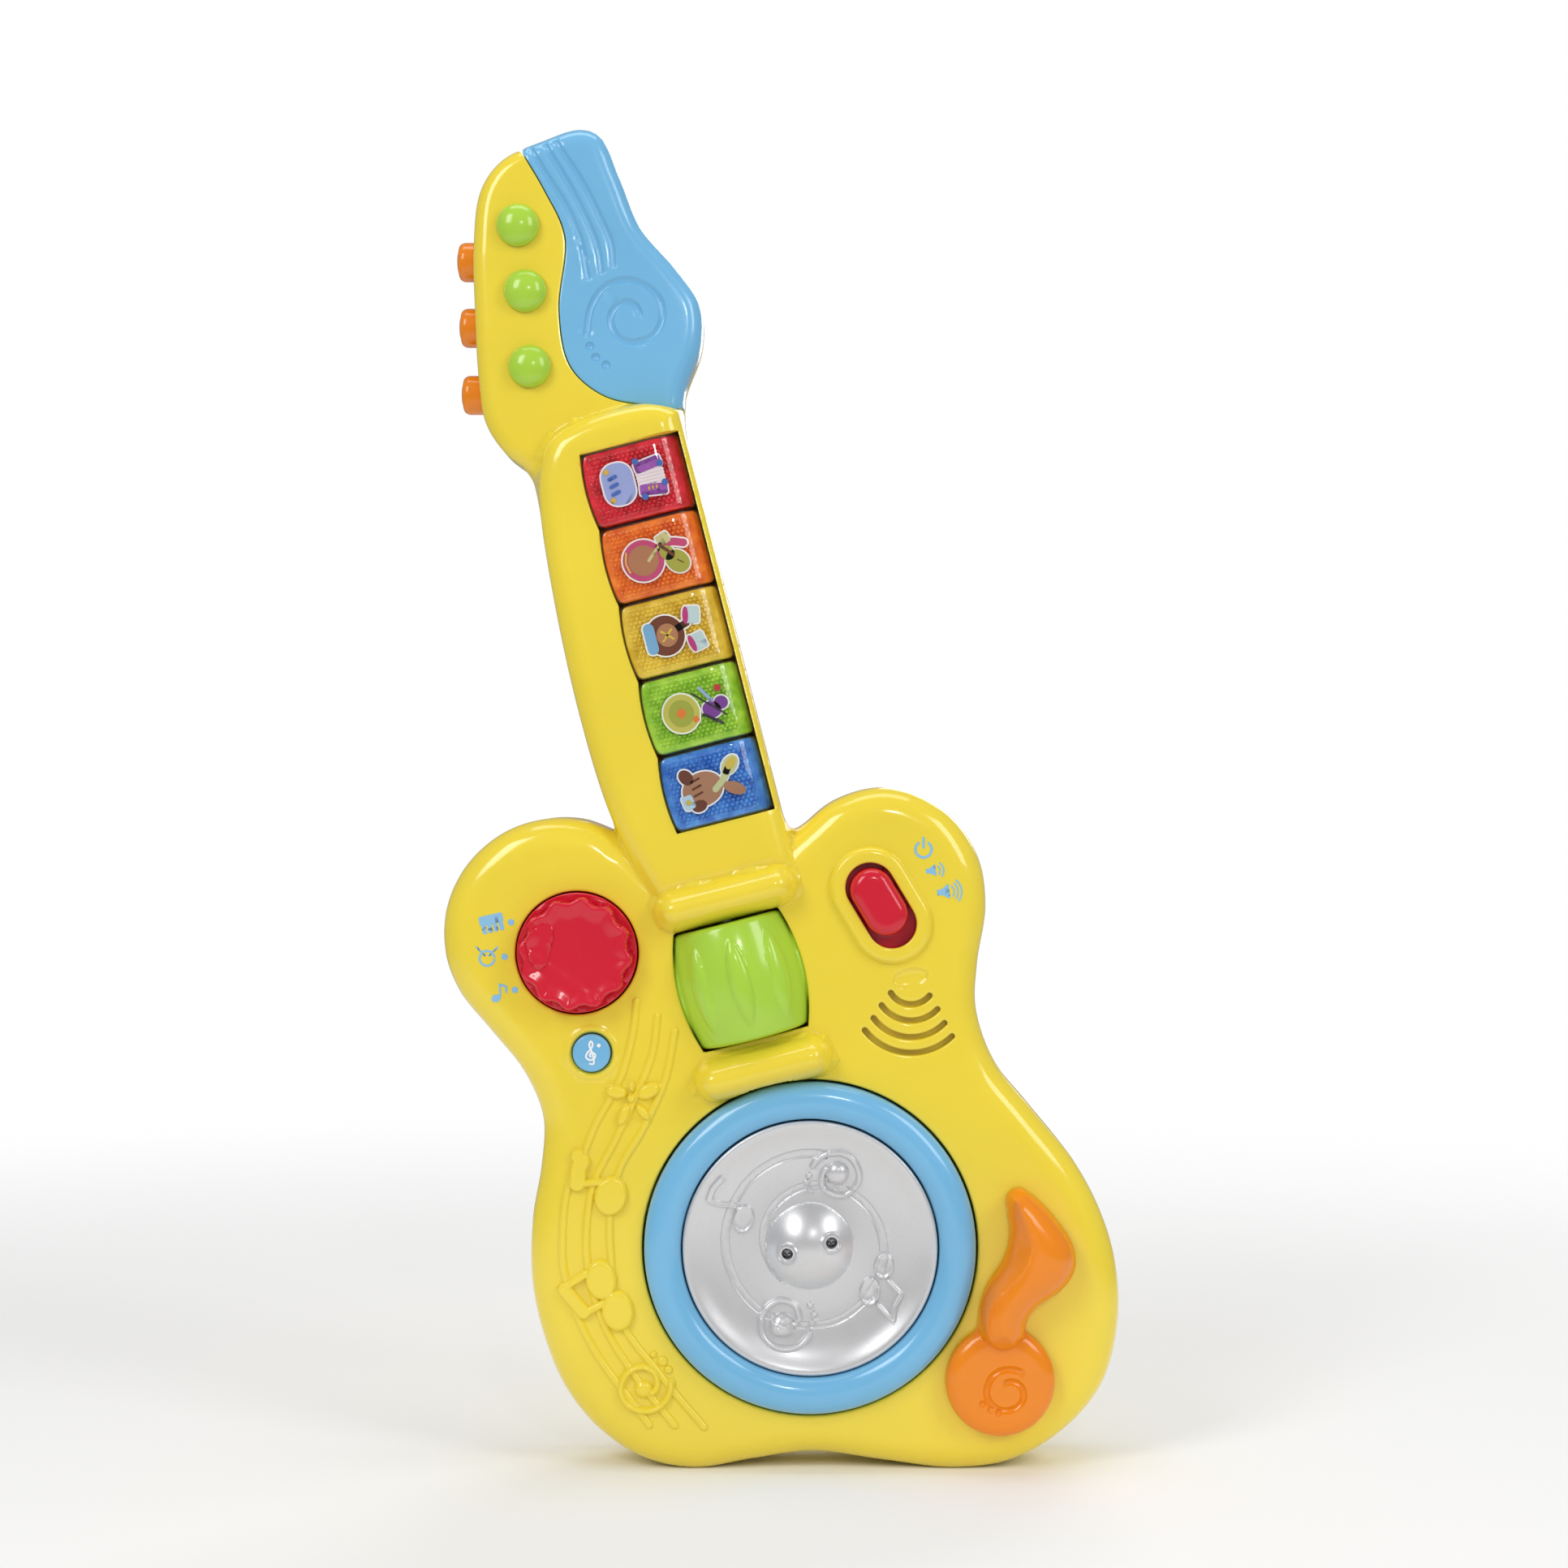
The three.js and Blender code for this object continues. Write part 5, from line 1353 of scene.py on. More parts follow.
def sticker_shapes():
    """Generic instruments for the five keys, each as layers of an ink and its shapes."""
    accordion = [
        ("pale_blue", [tile(-6.2, 0.2, 9.6, 13.0, 0, 4.2)]),
        ("violet", [tile(3.9, 3.9, 8.4, 3.4, 8), tile(3.9, -3.9, 8.4, 3.4, -8)]),
        ("white", [tile(3.9, y, 8.0, 0.55, 0, 0.2) for y in (-1.5, -0.5, 0.5, 1.5)]),
        ("purple", [tile(3.9, 5.0, 8.2, 1.0, 8), tile(3.9, -5.0, 8.2, 1.0, -8)]),
        ("gold", [tile(-9.0, 4.6, 1.6, 1.6, 40, 0.3), tile(-9.0, -4.4, 1.6, 1.6, 50, 0.3)]
         + [tile(x, -3.3, 0.6, 1.2, -8, 0.2) for x in (2.6, 3.8, 5.0)]),
        ("mid_blue", [stroke([(-8.6, y), (-6.6, y + 0.5)], 1.1, False) for y in (-2.6, -0.2, 2.2)]
         + [oval(x, y, 1.0, 1.0) for x, y in ((0.4, 5.6), (7.6, 3.4), (7.8, -2.6), (0.8, -5.6))]),
    ]
    banjo = [
        ("pink", [oval(-4.6, -0.4, 6.4, 6.4), stroke([(1, 2.4), (4.8, 3.2), (8.6, 2.0)], 2.4)]),
        ("tan", [oval(-4.6, -0.4, 4.7, 4.7)]),
        ("cream", [tile(2.8, 4.6, 4.0, 3.4, 20), stroke([(-3, -0.8), (1.6, 3.4)], 0.9, False)]),
        ("olive", [oval(5.6, -3.0, 3.2, 3.9, 40), oval(3.0, 0.2, 2.1, 2.5, 40)]),
        ("brown", [
            stroke([(1.4, 3.0), (4.6, -0.8)], 1.0, False), stroke([(5.6, -2.6), (7.2, -3.9)], 0.35, False),
        ]),
        ("gold", [stroke([(-9.4, -3), (-10, 0), (-9.2, 3)], 0.6)]),
    ]
    drums = [
        ("brown", [oval(-3.8, -0.3, 5.9, 6.2), stroke([(0.2, 1.0), (3.4, 2.0)], 2.2, False)]),
        ("sky", [tile(-8.4, -0.3, 3.4, 9.6, 0, 1.6)]),
        ("ice", [tile(5.6, 4.0, 4.4, 5.2, -12), tile(5.6, -4.3, 4.4, 5.2, 12)]),
        ("magenta", [oval(3.6, 4.3, 0.9, 2.7, -12), oval(3.6, -4.6, 0.9, 2.7, 12)]),
        ("tan", [oval(-3.2, -0.3, 3.3, 3.6)]),
        ("gold", [
            stroke([(-4.8, -1.8), (-1.6, 1.2)], 0.7, False), stroke([(-4.8, 1.2), (-1.6, -1.8)], 0.7, False),
        ]),
    ]
    violin = [
        ("mustard", [oval(-5.0, -0.6, 5.6, 5.9)]),
        ("olive", [oval(-5.0, -0.6, 3.9, 4.2)]),
        ("orange", [tile(-5.0, -0.6, 2.6, 2.6, 45, 0.5), tile(-1.0, -3.4, 1.8, 1.8, 20, 0.4)]),
        ("purple", [oval(4.4, -1.6, 2.9, 2.5, -25), oval(7.6, -0.2, 2.1, 2.0, -25)]),
        ("pale_blue", [stroke([(2.2, 5.6), (5.0, 1.0)], 1.0, False)]),
        ("black", [
            stroke([(-0.6, 4.6), (8.4, -4.2)], 0.5, False), stroke([(1.6, -2.6), (6.6, -6.4)], 0.9, False),
        ]),
        ("red", [tile(7.6, 4.4, 2.0, 2.0, 45, 0.5)]),
    ]
    horn = [
        ("tan", [oval(-4.4, -0.6, 6.4, 5.2, 10)]),
        ("brown", [oval(-8.6, 4.0, 2.0, 2.6, 30), oval(-6.6, -5.4, 2.4, 1.8, 10)]
         + [stroke([(-7.4, y), (-4.8, y + 0.7)], 0.7, False) for y in (-2.2, 0.0, 2.2)]),
        ("ice", [tile(-9.6, -3.6, 3.4, 4.4, 10, 0.9)]),
        ("cream", [stroke([(-0.6, -1.6), (2.4, 0.8), (4.4, 3.6)], 2.0), oval(5.4, 4.6, 2.2, 3.3, -45)]),
        ("tan", [oval(5.2, -2.6, 3.6, 1.9, -30)]),
        ("gold", [tile(-9.6, -3.6, 1.5, 1.5, 45, 0.3), oval(5.8, 5.0, 1.2, 2.1, -45)]),
    ]
    return [accordion, banjo, drums, violin, horn]


def grown(loop, distance):
    loop = anticlockwise(loop)
    return loop - side_normals(loop) * distance


def sticker(name, layers, inks, place):
    """Picture on a key: a white backing round its first four layers, then the layers themselves."""
    level, step = KEY_TOP - 1.32, 0.05
    backing = [grown(shape, 0.5) for _, shapes in layers[:4] for shape in shapes]
    for k, shape in enumerate(backing):
        film(f"{name}_back_{k}", shape, level - 0.004 * k, inks["white"], name, place)
    for k, (ink, shapes) in enumerate(layers, 1):
        for n, shape in enumerate(shapes):
            film(f"{name}_art_{k}_{n}", shape, level + step * k, inks[ink], name, place)


def keys():
    bead_verts, bead_faces = bead_plate()
    cap_verts, cap_faces = key_cap()
    inks = {name: print_ink(f"ink_{name}", colour) for name, colour in PALETTE.items()}
    pictures = sticker_shapes()
    for i, (name, (deep, bright, tint)) in enumerate(KEY_COLOURS.items()):
        def place(verts, i=i):
            return np.column_stack([on_neck(verts[:, :2] + key_centre(i)), verts[:, 2]])

        beads, clear = bead_plastic(f"{name}_bead", deep, bright), clear_tint(f"{name}_tint", tint)
        mesh_object(f"{name}_beads", place(bead_verts), bead_faces, beads, name)
        mesh_object(f"{name}_cap", place(cap_verts), cap_faces, clear, name, [name])
        sticker(name, pictures[i], inks, place)


# ---------------------------------------------------------------- roller

ROLLER_RIDGES, RIDGE_REACH, RIDGE_HALF, RIDGE_RISE, RIDGE_SINK = 10, 14.2, 3.3, 1.25, 0.6
ROLLER_BORE_R = 2.3


def roller_radius(turn, v):
    """Radius of the barrel with its lens-shaped ridges, at turns round it and one place along it."""
    half = ROLLER_LENGTH / 2
    radius = ROLLER_MID_R - (ROLLER_MID_R - ROLLER_END_R) * (v / half) ** 2 - RIDGE_SINK
    end = min((half - abs(v)) / 1.2, 1)
    radius -= 1 - math.sqrt(1 - (1 - end) ** 2)
    if abs(v) >= RIDGE_REACH:
        return np.full(len(turn), radius)
    pitch = 2 * math.pi / ROLLER_RIDGES
    away = np.abs((turn / pitch + 0.5) % 1 - 0.5) * pitch * radius
    wide = RIDGE_HALF * (1 - (v / RIDGE_REACH) ** 2) ** 0.8
    t = np.clip(away / wide, 0, 1)
    return radius + RIDGE_RISE * (1 - t ** 2) ** 0.6 * (1 - (v / RIDGE_REACH) ** 4)


def roller():
    sides, steps = 240, 72
    turn = np.linspace(0, 2 * math.pi, sides, endpoint=False)
    along = np.linspace(-ROLLER_LENGTH / 2, ROLLER_LENGTH / 2, steps + 1)
    bore = np.full(sides, ROLLER_BORE_R)
    rings = [(bore, along[0]), *[(roller_radius(turn, v), v) for v in along], (bore, along[-1])]
    verts, faces = [], []
    for k, (radius, v) in enumerate(rings):
        flat = on_neck(np.stack([AXIS_U + radius * np.sin(turn), np.full(sides, ROLLER_V + v)], 1))
        verts.append(np.column_stack([flat, ROLLER_AXIS_Z + radius * np.cos(turn)]))
        bridge(faces, k * sides, (k + 1) % len(rings) * sides, sides)
    mesh_object("roller_barrel", np.vstack(verts), faces, GREEN, "roller", ["roller"])


# ---------------------------------------------------------------- turntable

def turntable_ring():
    middle, half = (RING_R + RING_INNER_R) / 2, (RING_R - RING_INNER_R) / 2
    bore, foot, floor, rise = 4.35, 25.4, 27.8, 4.6
    rim = [(middle + half * math.cos(t), RING_TOP - rise + rise * math.sin(t) ** 0.9)
           for t in np.linspace(0, math.pi, 25)]
    profile = [
        (bore, foot), (RING_R - 0.8, foot), (RING_R, foot + 0.8), *rim, (RING_INNER_R, floor),
        (bore, floor), (bore, foot),
    ]
    verts, faces = turned(profile, 160, TABLE)
    mesh_object("turntable_ring_rim", verts, faces, BLUE, "turntable", ["turntable_ring"])


# each swirl has a centre, and turns in degrees with their radius
SWIRLS = [
    ((8.4, 22.6), [
        (163, 7.9), (103, 6.3), (20, 6.4), (-12, 6.9), (-72, 7.1), (-132, 6.2), (-170, 4.7), (-205, 3.7),
    ]),
    ((-8.6, -23.9), [
        (-17, 8.8), (-52, 8.2), (-84, 7.3), (-126, 6.7), (-174, 6.35), (-222, 6.8), (-264, 7.4),
        (-304, 7.0), (-340, 5.6), (-362, 3.8),
    ]),
]
SWIRL_BOSS_R, DISC_BEAD_R = 3.6, 1.05
DISC_BEADS = [(-0.3, 21.9), (-1.0, 19.7), (0.1, 17.4), (0.1, -18.1), (1.3, -20.8), (0.6, -23.5)]
DISC_HEADS = [((-20.5, 8.5), 3.2, 4.6, -14), ((22.7, -5.9), 3.0, 4.3, -10), ((18.4, -13.8), 3.1, 4.6, -8)]
DISC_STEMS = [
    ([(-22.4, 12.4), (-28.3, 13.4), (-31, 14.7), (-29.7, 18.2), (-27, 21.2)], 0.95),
    ([(24.4, -10.4), (28, -14.1), (25.9, -18.1), (25.4, -22.3), (21.2, -17.8)], 0.85),
]
BAND_TURN = [0, 32, 66, 85, 116, 135, 192, 210, 233, 278, 301, 358, 392, 416, 440, 464, 494, 512]
BAND_RADIUS = [14.1, 14.4, 16.0, 17.0, 18.6, 19.7, 22.6, 23.3, 24.0, 25.0, 25.6, 26.2, 26.7, 27.5, 28.2, 29.2,
               30.0, 30.1]
BAND_WIDTH, BAND_START = 2.5, 231
DOME_R, DOME_RISE, DISC_LEVEL, DISC_RIM_R = 13.3, 5.8, 34.2, 38.2
DISC_SCREWS = [(-7.0, -1.7), (6.6, 1.7)]


def swirl_line(centre, turns):
    degrees = np.linspace(turns[0][0], turns[-1][0], 80)
    order = np.array(turns)[::-1]
    radius = np.interp(degrees, order[:, 0], order[:, 1])
    angle = np.radians(degrees)
    return np.array(centre) + np.stack([radius * np.cos(angle), radius * np.sin(angle)], 1)


def band_line(inset):
    """Edge of the channel that winds round the disc; turns run clockwise from its start."""
    turn = np.linspace(0, BAND_TURN[-1], 400)
    radius = np.interp(turn, BAND_TURN, BAND_RADIUS) - inset
    angle = np.radians(BAND_START - turn)
    line = np.stack([radius * np.cos(angle), radius * np.sin(angle)], 1)
    return line[radius > DOME_R + 0.6]


# radius and height of the plain disc under its ornaments
DISC_PROFILE = (
    [0, DOME_R, 16, 20, 24, 27, 30, 32, 34, 35.5, 37, DISC_RIM_R, 41],
    [DISC_LEVEL, 34.1, 33.95, 33.95, 34.2, 34.55, 35.1, 35.6, 36.3, 37.0, 37.8, 38.2, 38.2],
)


def disc_base(r):
    smoothed = [np.interp(r + shift, *DISC_PROFILE) for shift in np.linspace(-1.2, 1.2, 7)]
    z = np.mean(smoothed, 0) - 0.5 * np.clip((r - DISC_RIM_R) / 0.9, 0, 1) ** 2
    return np.where(r < DOME_R, DISC_LEVEL + DOME_RISE * (1 - np.clip(r / DOME_R, 0, 1) ** 2), z)


def band_channel(local, r):
    """1 in the channel that winds round the disc, 0 beside it."""
    angle = (BAND_START - np.degrees(np.arctan2(local[:, 1], local[:, 0]))) % 360
    laps = []
    for turn in (angle, angle + 360):
        outer = np.interp(turn, BAND_TURN, BAND_RADIUS)
        within = np.minimum(outer - r, r - (outer - BAND_WIDTH))
        on = (turn < BAND_TURN[-1]) & (r > DOME_R + 0.2)
        laps.append(np.where(on, np.clip(within / 0.3 + 0.5, 0, 1), 0))
    return np.maximum(*laps)


def disc_ornaments(local):
    """Height of the swirls, beads and notes on the disc."""
    layers = []
    for centre, turns in SWIRLS:
        layers.append(ridge(local, swirl_line(centre, turns), 1.15, 1.45))
        layers.append(pillow(round_depth(local, centre, SWIRL_BOSS_R), 3.4, 2.9))
    layers += [pillow(round_depth(local, centre, DISC_BEAD_R), 1.0, 1.2) for centre in DISC_BEADS]
    for centre, rx, ry, turn in DISC_HEADS:
        depth = ellipse_depth(local, centre, rx, ry, turn)
        layers.append(pillow(depth, 0.6, 1.2) - 0.35 * np.clip((depth - 0.5) / 0.5, 0, 1))
    for line, half in DISC_STEMS:
        depth = half - line_distance(local, line, reach=3)
        layers.append(pillow(depth, 0.5, 1.05) - 0.2 * np.clip((depth - 0.45) / 0.4, 0, 1))
    return np.max(layers, axis=0)


def disc_height(points):
    local = points - TABLE
    r = np.hypot(local[:, 0], local[:, 1])
    z = disc_base(r) - 0.55 * band_channel(local, r) + disc_ornaments(local)
    for place in DISC_SCREWS:
        away = np.hypot(*(local - np.array(place)).T)
        z += 0.55 * np.exp(-((away - 2.95) / 0.34) ** 2) - 0.4 * np.clip((2.7 - away) / 0.4, 0, 1)
    return z


def disc_detail():
    """Rows of vertices along everything that is moulded on the disc, about its centre."""
    fine = [-1.15, -0.95, -0.7, -0.35, 0, 0.35, 0.7, 0.95, 1.15]
    rows = []
    for centre, turns in SWIRLS:
        swirl = swirl_line(centre, turns)
        rows.append(beside(swirl, fine, 0.45))
        rows.append(round_rows(centre, SWIRL_BOSS_R, [-0.15, 0.05, 0.2, 0.5, 0.9, 1.4, 2.1, 2.9], 0.5))
        rows.append(round_rows(swirl[0], 1.1, [0, 0.2, 0.5, 0.8], 0.4))
    rows += [round_rows(centre, DISC_BEAD_R, [-0.12, 0.04, 0.2, 0.5, 0.8], 0.35) for centre in DISC_BEADS]
    for head in DISC_HEADS:
        rows.append(disc_rows(*head, [-0.12, 0.03, 0.15, 0.35, 0.6, 0.9, 1.2, 2.0], 0.4))
    for line, half in DISC_STEMS:
        offsets = [o * w for o in (half + 0.1, half - 0.03, half - 0.25, half - 0.55) for w in (-1, 1)]
        rows.append(beside(line, offsets + [0], 0.35))
    for inset in (-0.25, 0.1, 0.3, BAND_WIDTH - 0.3, BAND_WIDTH - 0.1, BAND_WIDTH + 0.25):
        rows.append(resample(band_line(inset), 0.7))
    rows += [round_rows(place, 3.8, [0, 0.3, 0.6, 0.9, 1.1, 1.35, 1.6, 1.85], 0.45) for place in DISC_SCREWS]
    rows += [circle((0, 0), radius, 0.8) for radius in (12.6, 13.1, 13.3, 13.5, 14.0, 36.4, 37.0, 37.4, 37.9)]
    return np.vstack(rows)


def turntable_disc():
    holes = [circle(TABLE + np.array(place), 1.75, 0.4) for place in DISC_SCREWS]
    verts, faces = relief(
        circle(TABLE, DISC_R, 0.8), holes, disc_height, 32.3, 1.1, (0.2, 0.5, 0.8, 1.3),
        disc_detail() + TABLE, (0.15, 0.4),
    )
    mesh_object("turntable_disc_plate", verts, faces, SILVER, "turntable", ["turntable_disc"])


# ---------------------------------------------------------------- knob, slider, song button

KNOB_TOP, KNOB_FOOT, SKIRT_TOP = 44.0, 31.5, 36.6
LOBES, LOBE_HEIGHT, KNOB_EDGE = 12, 0.8, 0.8
POINTER = [
    (-15.0, 5.0), (-12.6, 7.8), (-9.4, 9.4), (-6.9, 8.3), (-6.5, 5.6), (-7.7, 0.4), (-8.8, -3.4),
    (-10.8, -4.9), (-12.8, -3.6), (-14.6, 0.6),
]


def lobed(grow=0.0, step=0.45):
    """Wavy outline of the knob's grip."""
    turn = np.linspace(0, 2 * math.pi, int(2 * math.pi * KNOB_R / step), endpoint=False)
    radius = KNOB_R - 2.0 + LOBE_HEIGHT * np.cos(LOBES * (turn - math.pi / 2 + 0.12)) + grow
    return KNOB + np.stack([radius * np.cos(turn), radius * np.sin(turn)], 1)


def mode_knob():
    cap = lobed()
    pointer = spline(np.array(POINTER) + KNOB, 0.5, True)

    def cap_height(points, depth):
        """Dished top with a raised pointer, and a faint step across its lower left."""
        top = KNOB_TOP - KNOB_EDGE + rounded_rim(depth, KNOB_EDGE, KNOB_EDGE)
        top -= 0.9 * np.clip((depth - 1.4) / 3.0, 0, 1) ** 0.8 + 0.5 * np.clip((depth - 3) / 12, 0, 1)
        top += 0.9 * np.clip(depth_in(points, pointer, 3) / 0.45, 0, 1) ** 0.6
        across = (points - KNOB) @ np.array([0.574, 0.819]) + 6.2
        return top + 0.3 * np.clip(-across / 1.2, 0, 1)

    def height(points):
        depth = depth_in(points, cap, 16)
        away = np.hypot(*(points - KNOB).T)
        skirt = SKIRT_TOP - 0.6 * np.clip((away - 17.7) / 0.8, 0, 1) ** 2
        skirt -= 0.7 * np.clip(1 + depth / 0.5, 0, 1)
        return np.where(depth > 0, cap_height(points, depth), np.maximum(skirt, 41.0 + 30 * depth))

    rows = [lobed(o) for o in (-3.4, -2.6, -1.9, -1.2, -0.85, -0.5, -0.22, -0.06, 0.0, 0.06, 0.15, 0.3)]
    rows += [pointer + side_normals(pointer) * o for o in (-0.1, 0.0, 0.1, 0.3, 0.55, 0.9)]
    outline = circle(KNOB, KNOB_R, 0.7)
    verts, faces = relief(outline, [], height, KNOB_FOOT, 1.3, (0.15, 0.4), np.vstack(rows))
    mesh_object("mode_knob_cap", verts, faces, RED, "mode_knob", ["mode_knob"])


SLIDER_REST = 1.3
CARRIAGE_TOP, CAP_FOOT, CAP_ROUND = 33.1, 38.0, 3.4


def power_slider():
    cap, carriage = [
        slot_place(capsule(*size, 0.6) + (0, SLIDER_REST)) for size in (SLIDER_SIZE, CARRIAGE_SIZE)
    ]

    def height(points):
        depth = depth_in(points, cap, 8)
        top = CAP_FOOT + pillow(depth, CAP_ROUND, 3.2) + 0.2 * np.clip(depth / 6.7, 0, 1)
        return np.where(depth > 0, top, np.maximum(CARRIAGE_TOP, CAP_FOOT + 30 * depth))

    offsets = (-0.16, -0.08, 0, 0.06, 0.2, 0.45, 0.8, 1.3, 1.9, 2.6, 3.4, 4.6)
    rows = np.vstack([cap + side_normals(cap) * o for o in offsets])
    verts, faces = relief(carriage, [], height, 31.3, 1.4, (), rows)
    mesh_object("power_slider_cap", verts, faces, RED, "power_slider", ["power_slider"])


CLEF = [
    (-0.9, -3.4), (0.2, -3.7), (0.55, -2.6), (0.15, 0.6), (-0.35, 3.0), (0.35, 4.1), (0.8, 3.0), (0.1, 1.5),
    (-1.5, 0.1), (-1.9, -1.2), (-0.7, -2.2), (0.9, -1.7), (1.2, -0.5), (0.2, 0.2), (-0.6, -0.4), (-0.4, -1.1),
]
SONG_TOP, FLANGE_R, SONG_EDGE = 37.97, 7.4, 0.8


def song_button():
    profile = [(0, 26), (2, 26), (2, 30.8), (FLANGE_R, 30.8), (FLANGE_R, 33.1), (SONG_R, 33.1)]
    profile.append((SONG_R, 37.0))
    profile += [(SONG_R - SONG_EDGE + SONG_EDGE * math.cos(t), 37.0 + SONG_EDGE * math.sin(t))
                for t in np.linspace(0.2, 1.5, 6)]
    profile += [(3.0, 37.95), (0, 38.0)]
    verts, faces = turned(profile, 64, SONG)
    mesh_object("song_button_cap", verts, faces, BLUE, "song_button", ["song_button"])
    song_mark()


def song_mark():
    """White clef: short overlapping strokes, as its line crosses itself, and a dot."""
    line = spline(turned_by(np.array(CLEF) * 0.92, 0.12, SONG), 0.25)
    strokes = [stroke(line[i:i + 12], 0.55, False) for i in range(0, len(line) - 3, 10)]
    for k, shape in enumerate(strokes):
        film(f"song_mark_{k}", shape, SONG_TOP + 0.002 * k, WHITE_INK, "song_button")
    dot = oval(SONG[0] + 2.3, SONG[1] + 2.4, 0.6, 0.6)
    film("song_mark_dot", dot, SONG_TOP, WHITE_INK, "song_button")


# ---------------------------------------------------------------- note lever

LEVER_RIDGE = [
    (72.3, 84.6), (74.4, 78.7), (75.9, 73.3), (75.6, 68.9), (73.4, 64), (69.6, 59.6), (65.6, 55.2),
    (63.6, 50.8), (63.2, 45.9), (64.4, 41.6),
]
LEVER_MARK = LEVER + np.array([1.4, -2.4])
LEVER_DOTS = [LEVER + np.array(d) for d in ((-5.6, -6.2), (-3.2, -8.0), (-0.8, -9.0))]


def signed_side(points, line):
    """Distance from a line, below zero on the side that lies left of it on the face."""
    result = np.zeros(len(points))
    right = line_normals(line)
    for part in np.array_split(np.arange(len(points)), 8):
        gap = points[part][:, None, :] - line
        near = np.linalg.norm(gap, axis=2)
        weight = np.exp(-(near - near.min(1, keepdims=True)) / 0.8)
        across = (gap * right).sum(2)
        result[part] = (across * weight).sum(1) / weight.sum(1)
    return result


def lever_head_height(points, head, mark):
    """Round foot of the note, with its sunk curl and dots."""
    z = 39.5 + pillow(depth_in(points, head, 8), 5.0, 3.1)
    z += 0.4 * np.clip(depth_in(points, head, 17) / 16, 0, 1)
    z -= ridge(points, mark, 1.15, 0.9)
    for dot in LEVER_DOTS:
        z -= pillow(round_depth(points, dot, 1.0), 0.9, 0.7)
    return z


def lever_flag_height(points, flag, crest):
    """Flag of the note: its left face climbs straight to the crest, its right face falls off round it."""
    depth = depth_in(points, flag, 16)
    away = line_distance(points, crest, reach=18)
    flat = 42.0 + 7.2 * depth / (depth + away + 1e-6)
    full = 41.4 + pillow(depth, 9.5, 8.0) - 0.012 * away ** 2
    turn = np.clip(0.5 + signed_side(points, crest) / 2.4, 0, 1)
    turn = turn * turn * (3 - 2 * turn)
    z = flat + (full - flat) * turn
    z -= 2.6 - pillow(depth, 2.2, 2.6)
    foot_ramp = 43.3 + 0.95 * (points[:, 1] - 38.6)
    return np.where(depth > 0, np.minimum(z, np.minimum(49.75, foot_ramp)), 38.8 + 12 * depth)


def note_lever():
    head = circle(LEVER, LEVER_R, 0.8)
    flag = anticlockwise(spline(LEVER_FLAG, 0.8, True))
    outline = soften(joined_outline(0.8, head, flag), 5, [((60, 44), 4), ((74.5, 44), 4)])
    crest = spline(LEVER_RIDGE, 0.8)
    mark = spiral_line(LEVER_MARK, 0.86, 115, True)

    def height(points):
        head_z = lever_head_height(points, head, mark)
        return smooth_max(head_z, lever_flag_height(points, flag, crest), 0.7)

    offsets = (-0.2, 0.0, 0.12, 0.4, 0.9, 1.6, 2.4, 3.4, 4.6, 5.8, 7.0)
    rows = [flag + side_normals(flag) * o for o in offsets]
    rows.append(beside(crest, [-2, -1.2, -0.6, 0, 0.6, 1.2, 2.0], 0.7))
    rows.append(beside(mark, [-1.15, -0.95, -0.65, 0, 0.65, 0.95, 1.15], 0.5))
    rows += [round_rows(dot, 1.0, [-0.1, 0.05, 0.3, 0.6], 0.35) for dot in LEVER_DOTS]
    skin = relief(outline, [], height, BODY_FRONT + 0.5, 1.2, rim_insets(4.9, 8), np.vstack(rows))
    shaft = turned([(1.8, 24), (4.0, 24), (4.0, 36.6), (1.8, 36.6), (1.8, 24)], 28, LEVER)
    verts, faces = joined(skin, shaft)
    mesh_object("note_lever_arm", verts, faces, ORANGE, "note_lever", ["note_lever"])


# ---------------------------------------------------------------- printed icons

def ring_sector(cx, cy, radius, width, start, end):
    return stroke(arc((cx, cy), radius, math.radians(start), math.radians(end), 20), width, False)


def loudspeaker(cx, cy, scale, waves):
    cone = np.array([(-2.6, -0.9), (-1.2, -0.9), (1.2, -2.4), (1.2, 2.4), (-1.2, 0.9), (-2.6, 0.9)]) * scale
    shapes = [turned_by(resample(cone, 0.3, True), math.radians(8), (cx, cy))]
    return shapes + [ring_sector(cx + 0.6, cy, 2.1 * scale + 1.15 * k, 0.5, -38, 54) for k in range(waves)]


def keyboard_icon(x, y):
    keys_low = [tile(x + 1.75 * k, y + 0.42 * k, 1.35, 3.4, 13, 0.3) for k in range(4)]
    return keys_low + [tile(x + 2.1, y + 2.9, 7.4, 2.9, 13, 0.5)]


def drum_icon(x, y):
    sticks = [stroke([(x + 3.2 * side, y + 3.4), (x + 0.6 * side, y + 0.8)], 0.6, False) for side in (-1, 1)]
    return [ring_sector(x, y, 2.3, 0.7, 0, 358), *sticks]


def note_icon(x, y):
    stem = stroke([(x + 1.3, y + 0.4), (x + 1.1, y + 4.3)], 0.6, False)
    flag = stroke([(x + 1.1, y + 4.2), (x + 3.0, y + 3.6), (x + 3.1, y + 2.0)], 0.7)
    return [oval(x, y, 1.5, 1.15, 20), stem, flag]


def power_icon(x, y):
    return [ring_sector(x, y, 2.5, 0.8, -230, 50), stroke([(x, y + 0.6), (x, y + 3.5)], 0.8, False)]


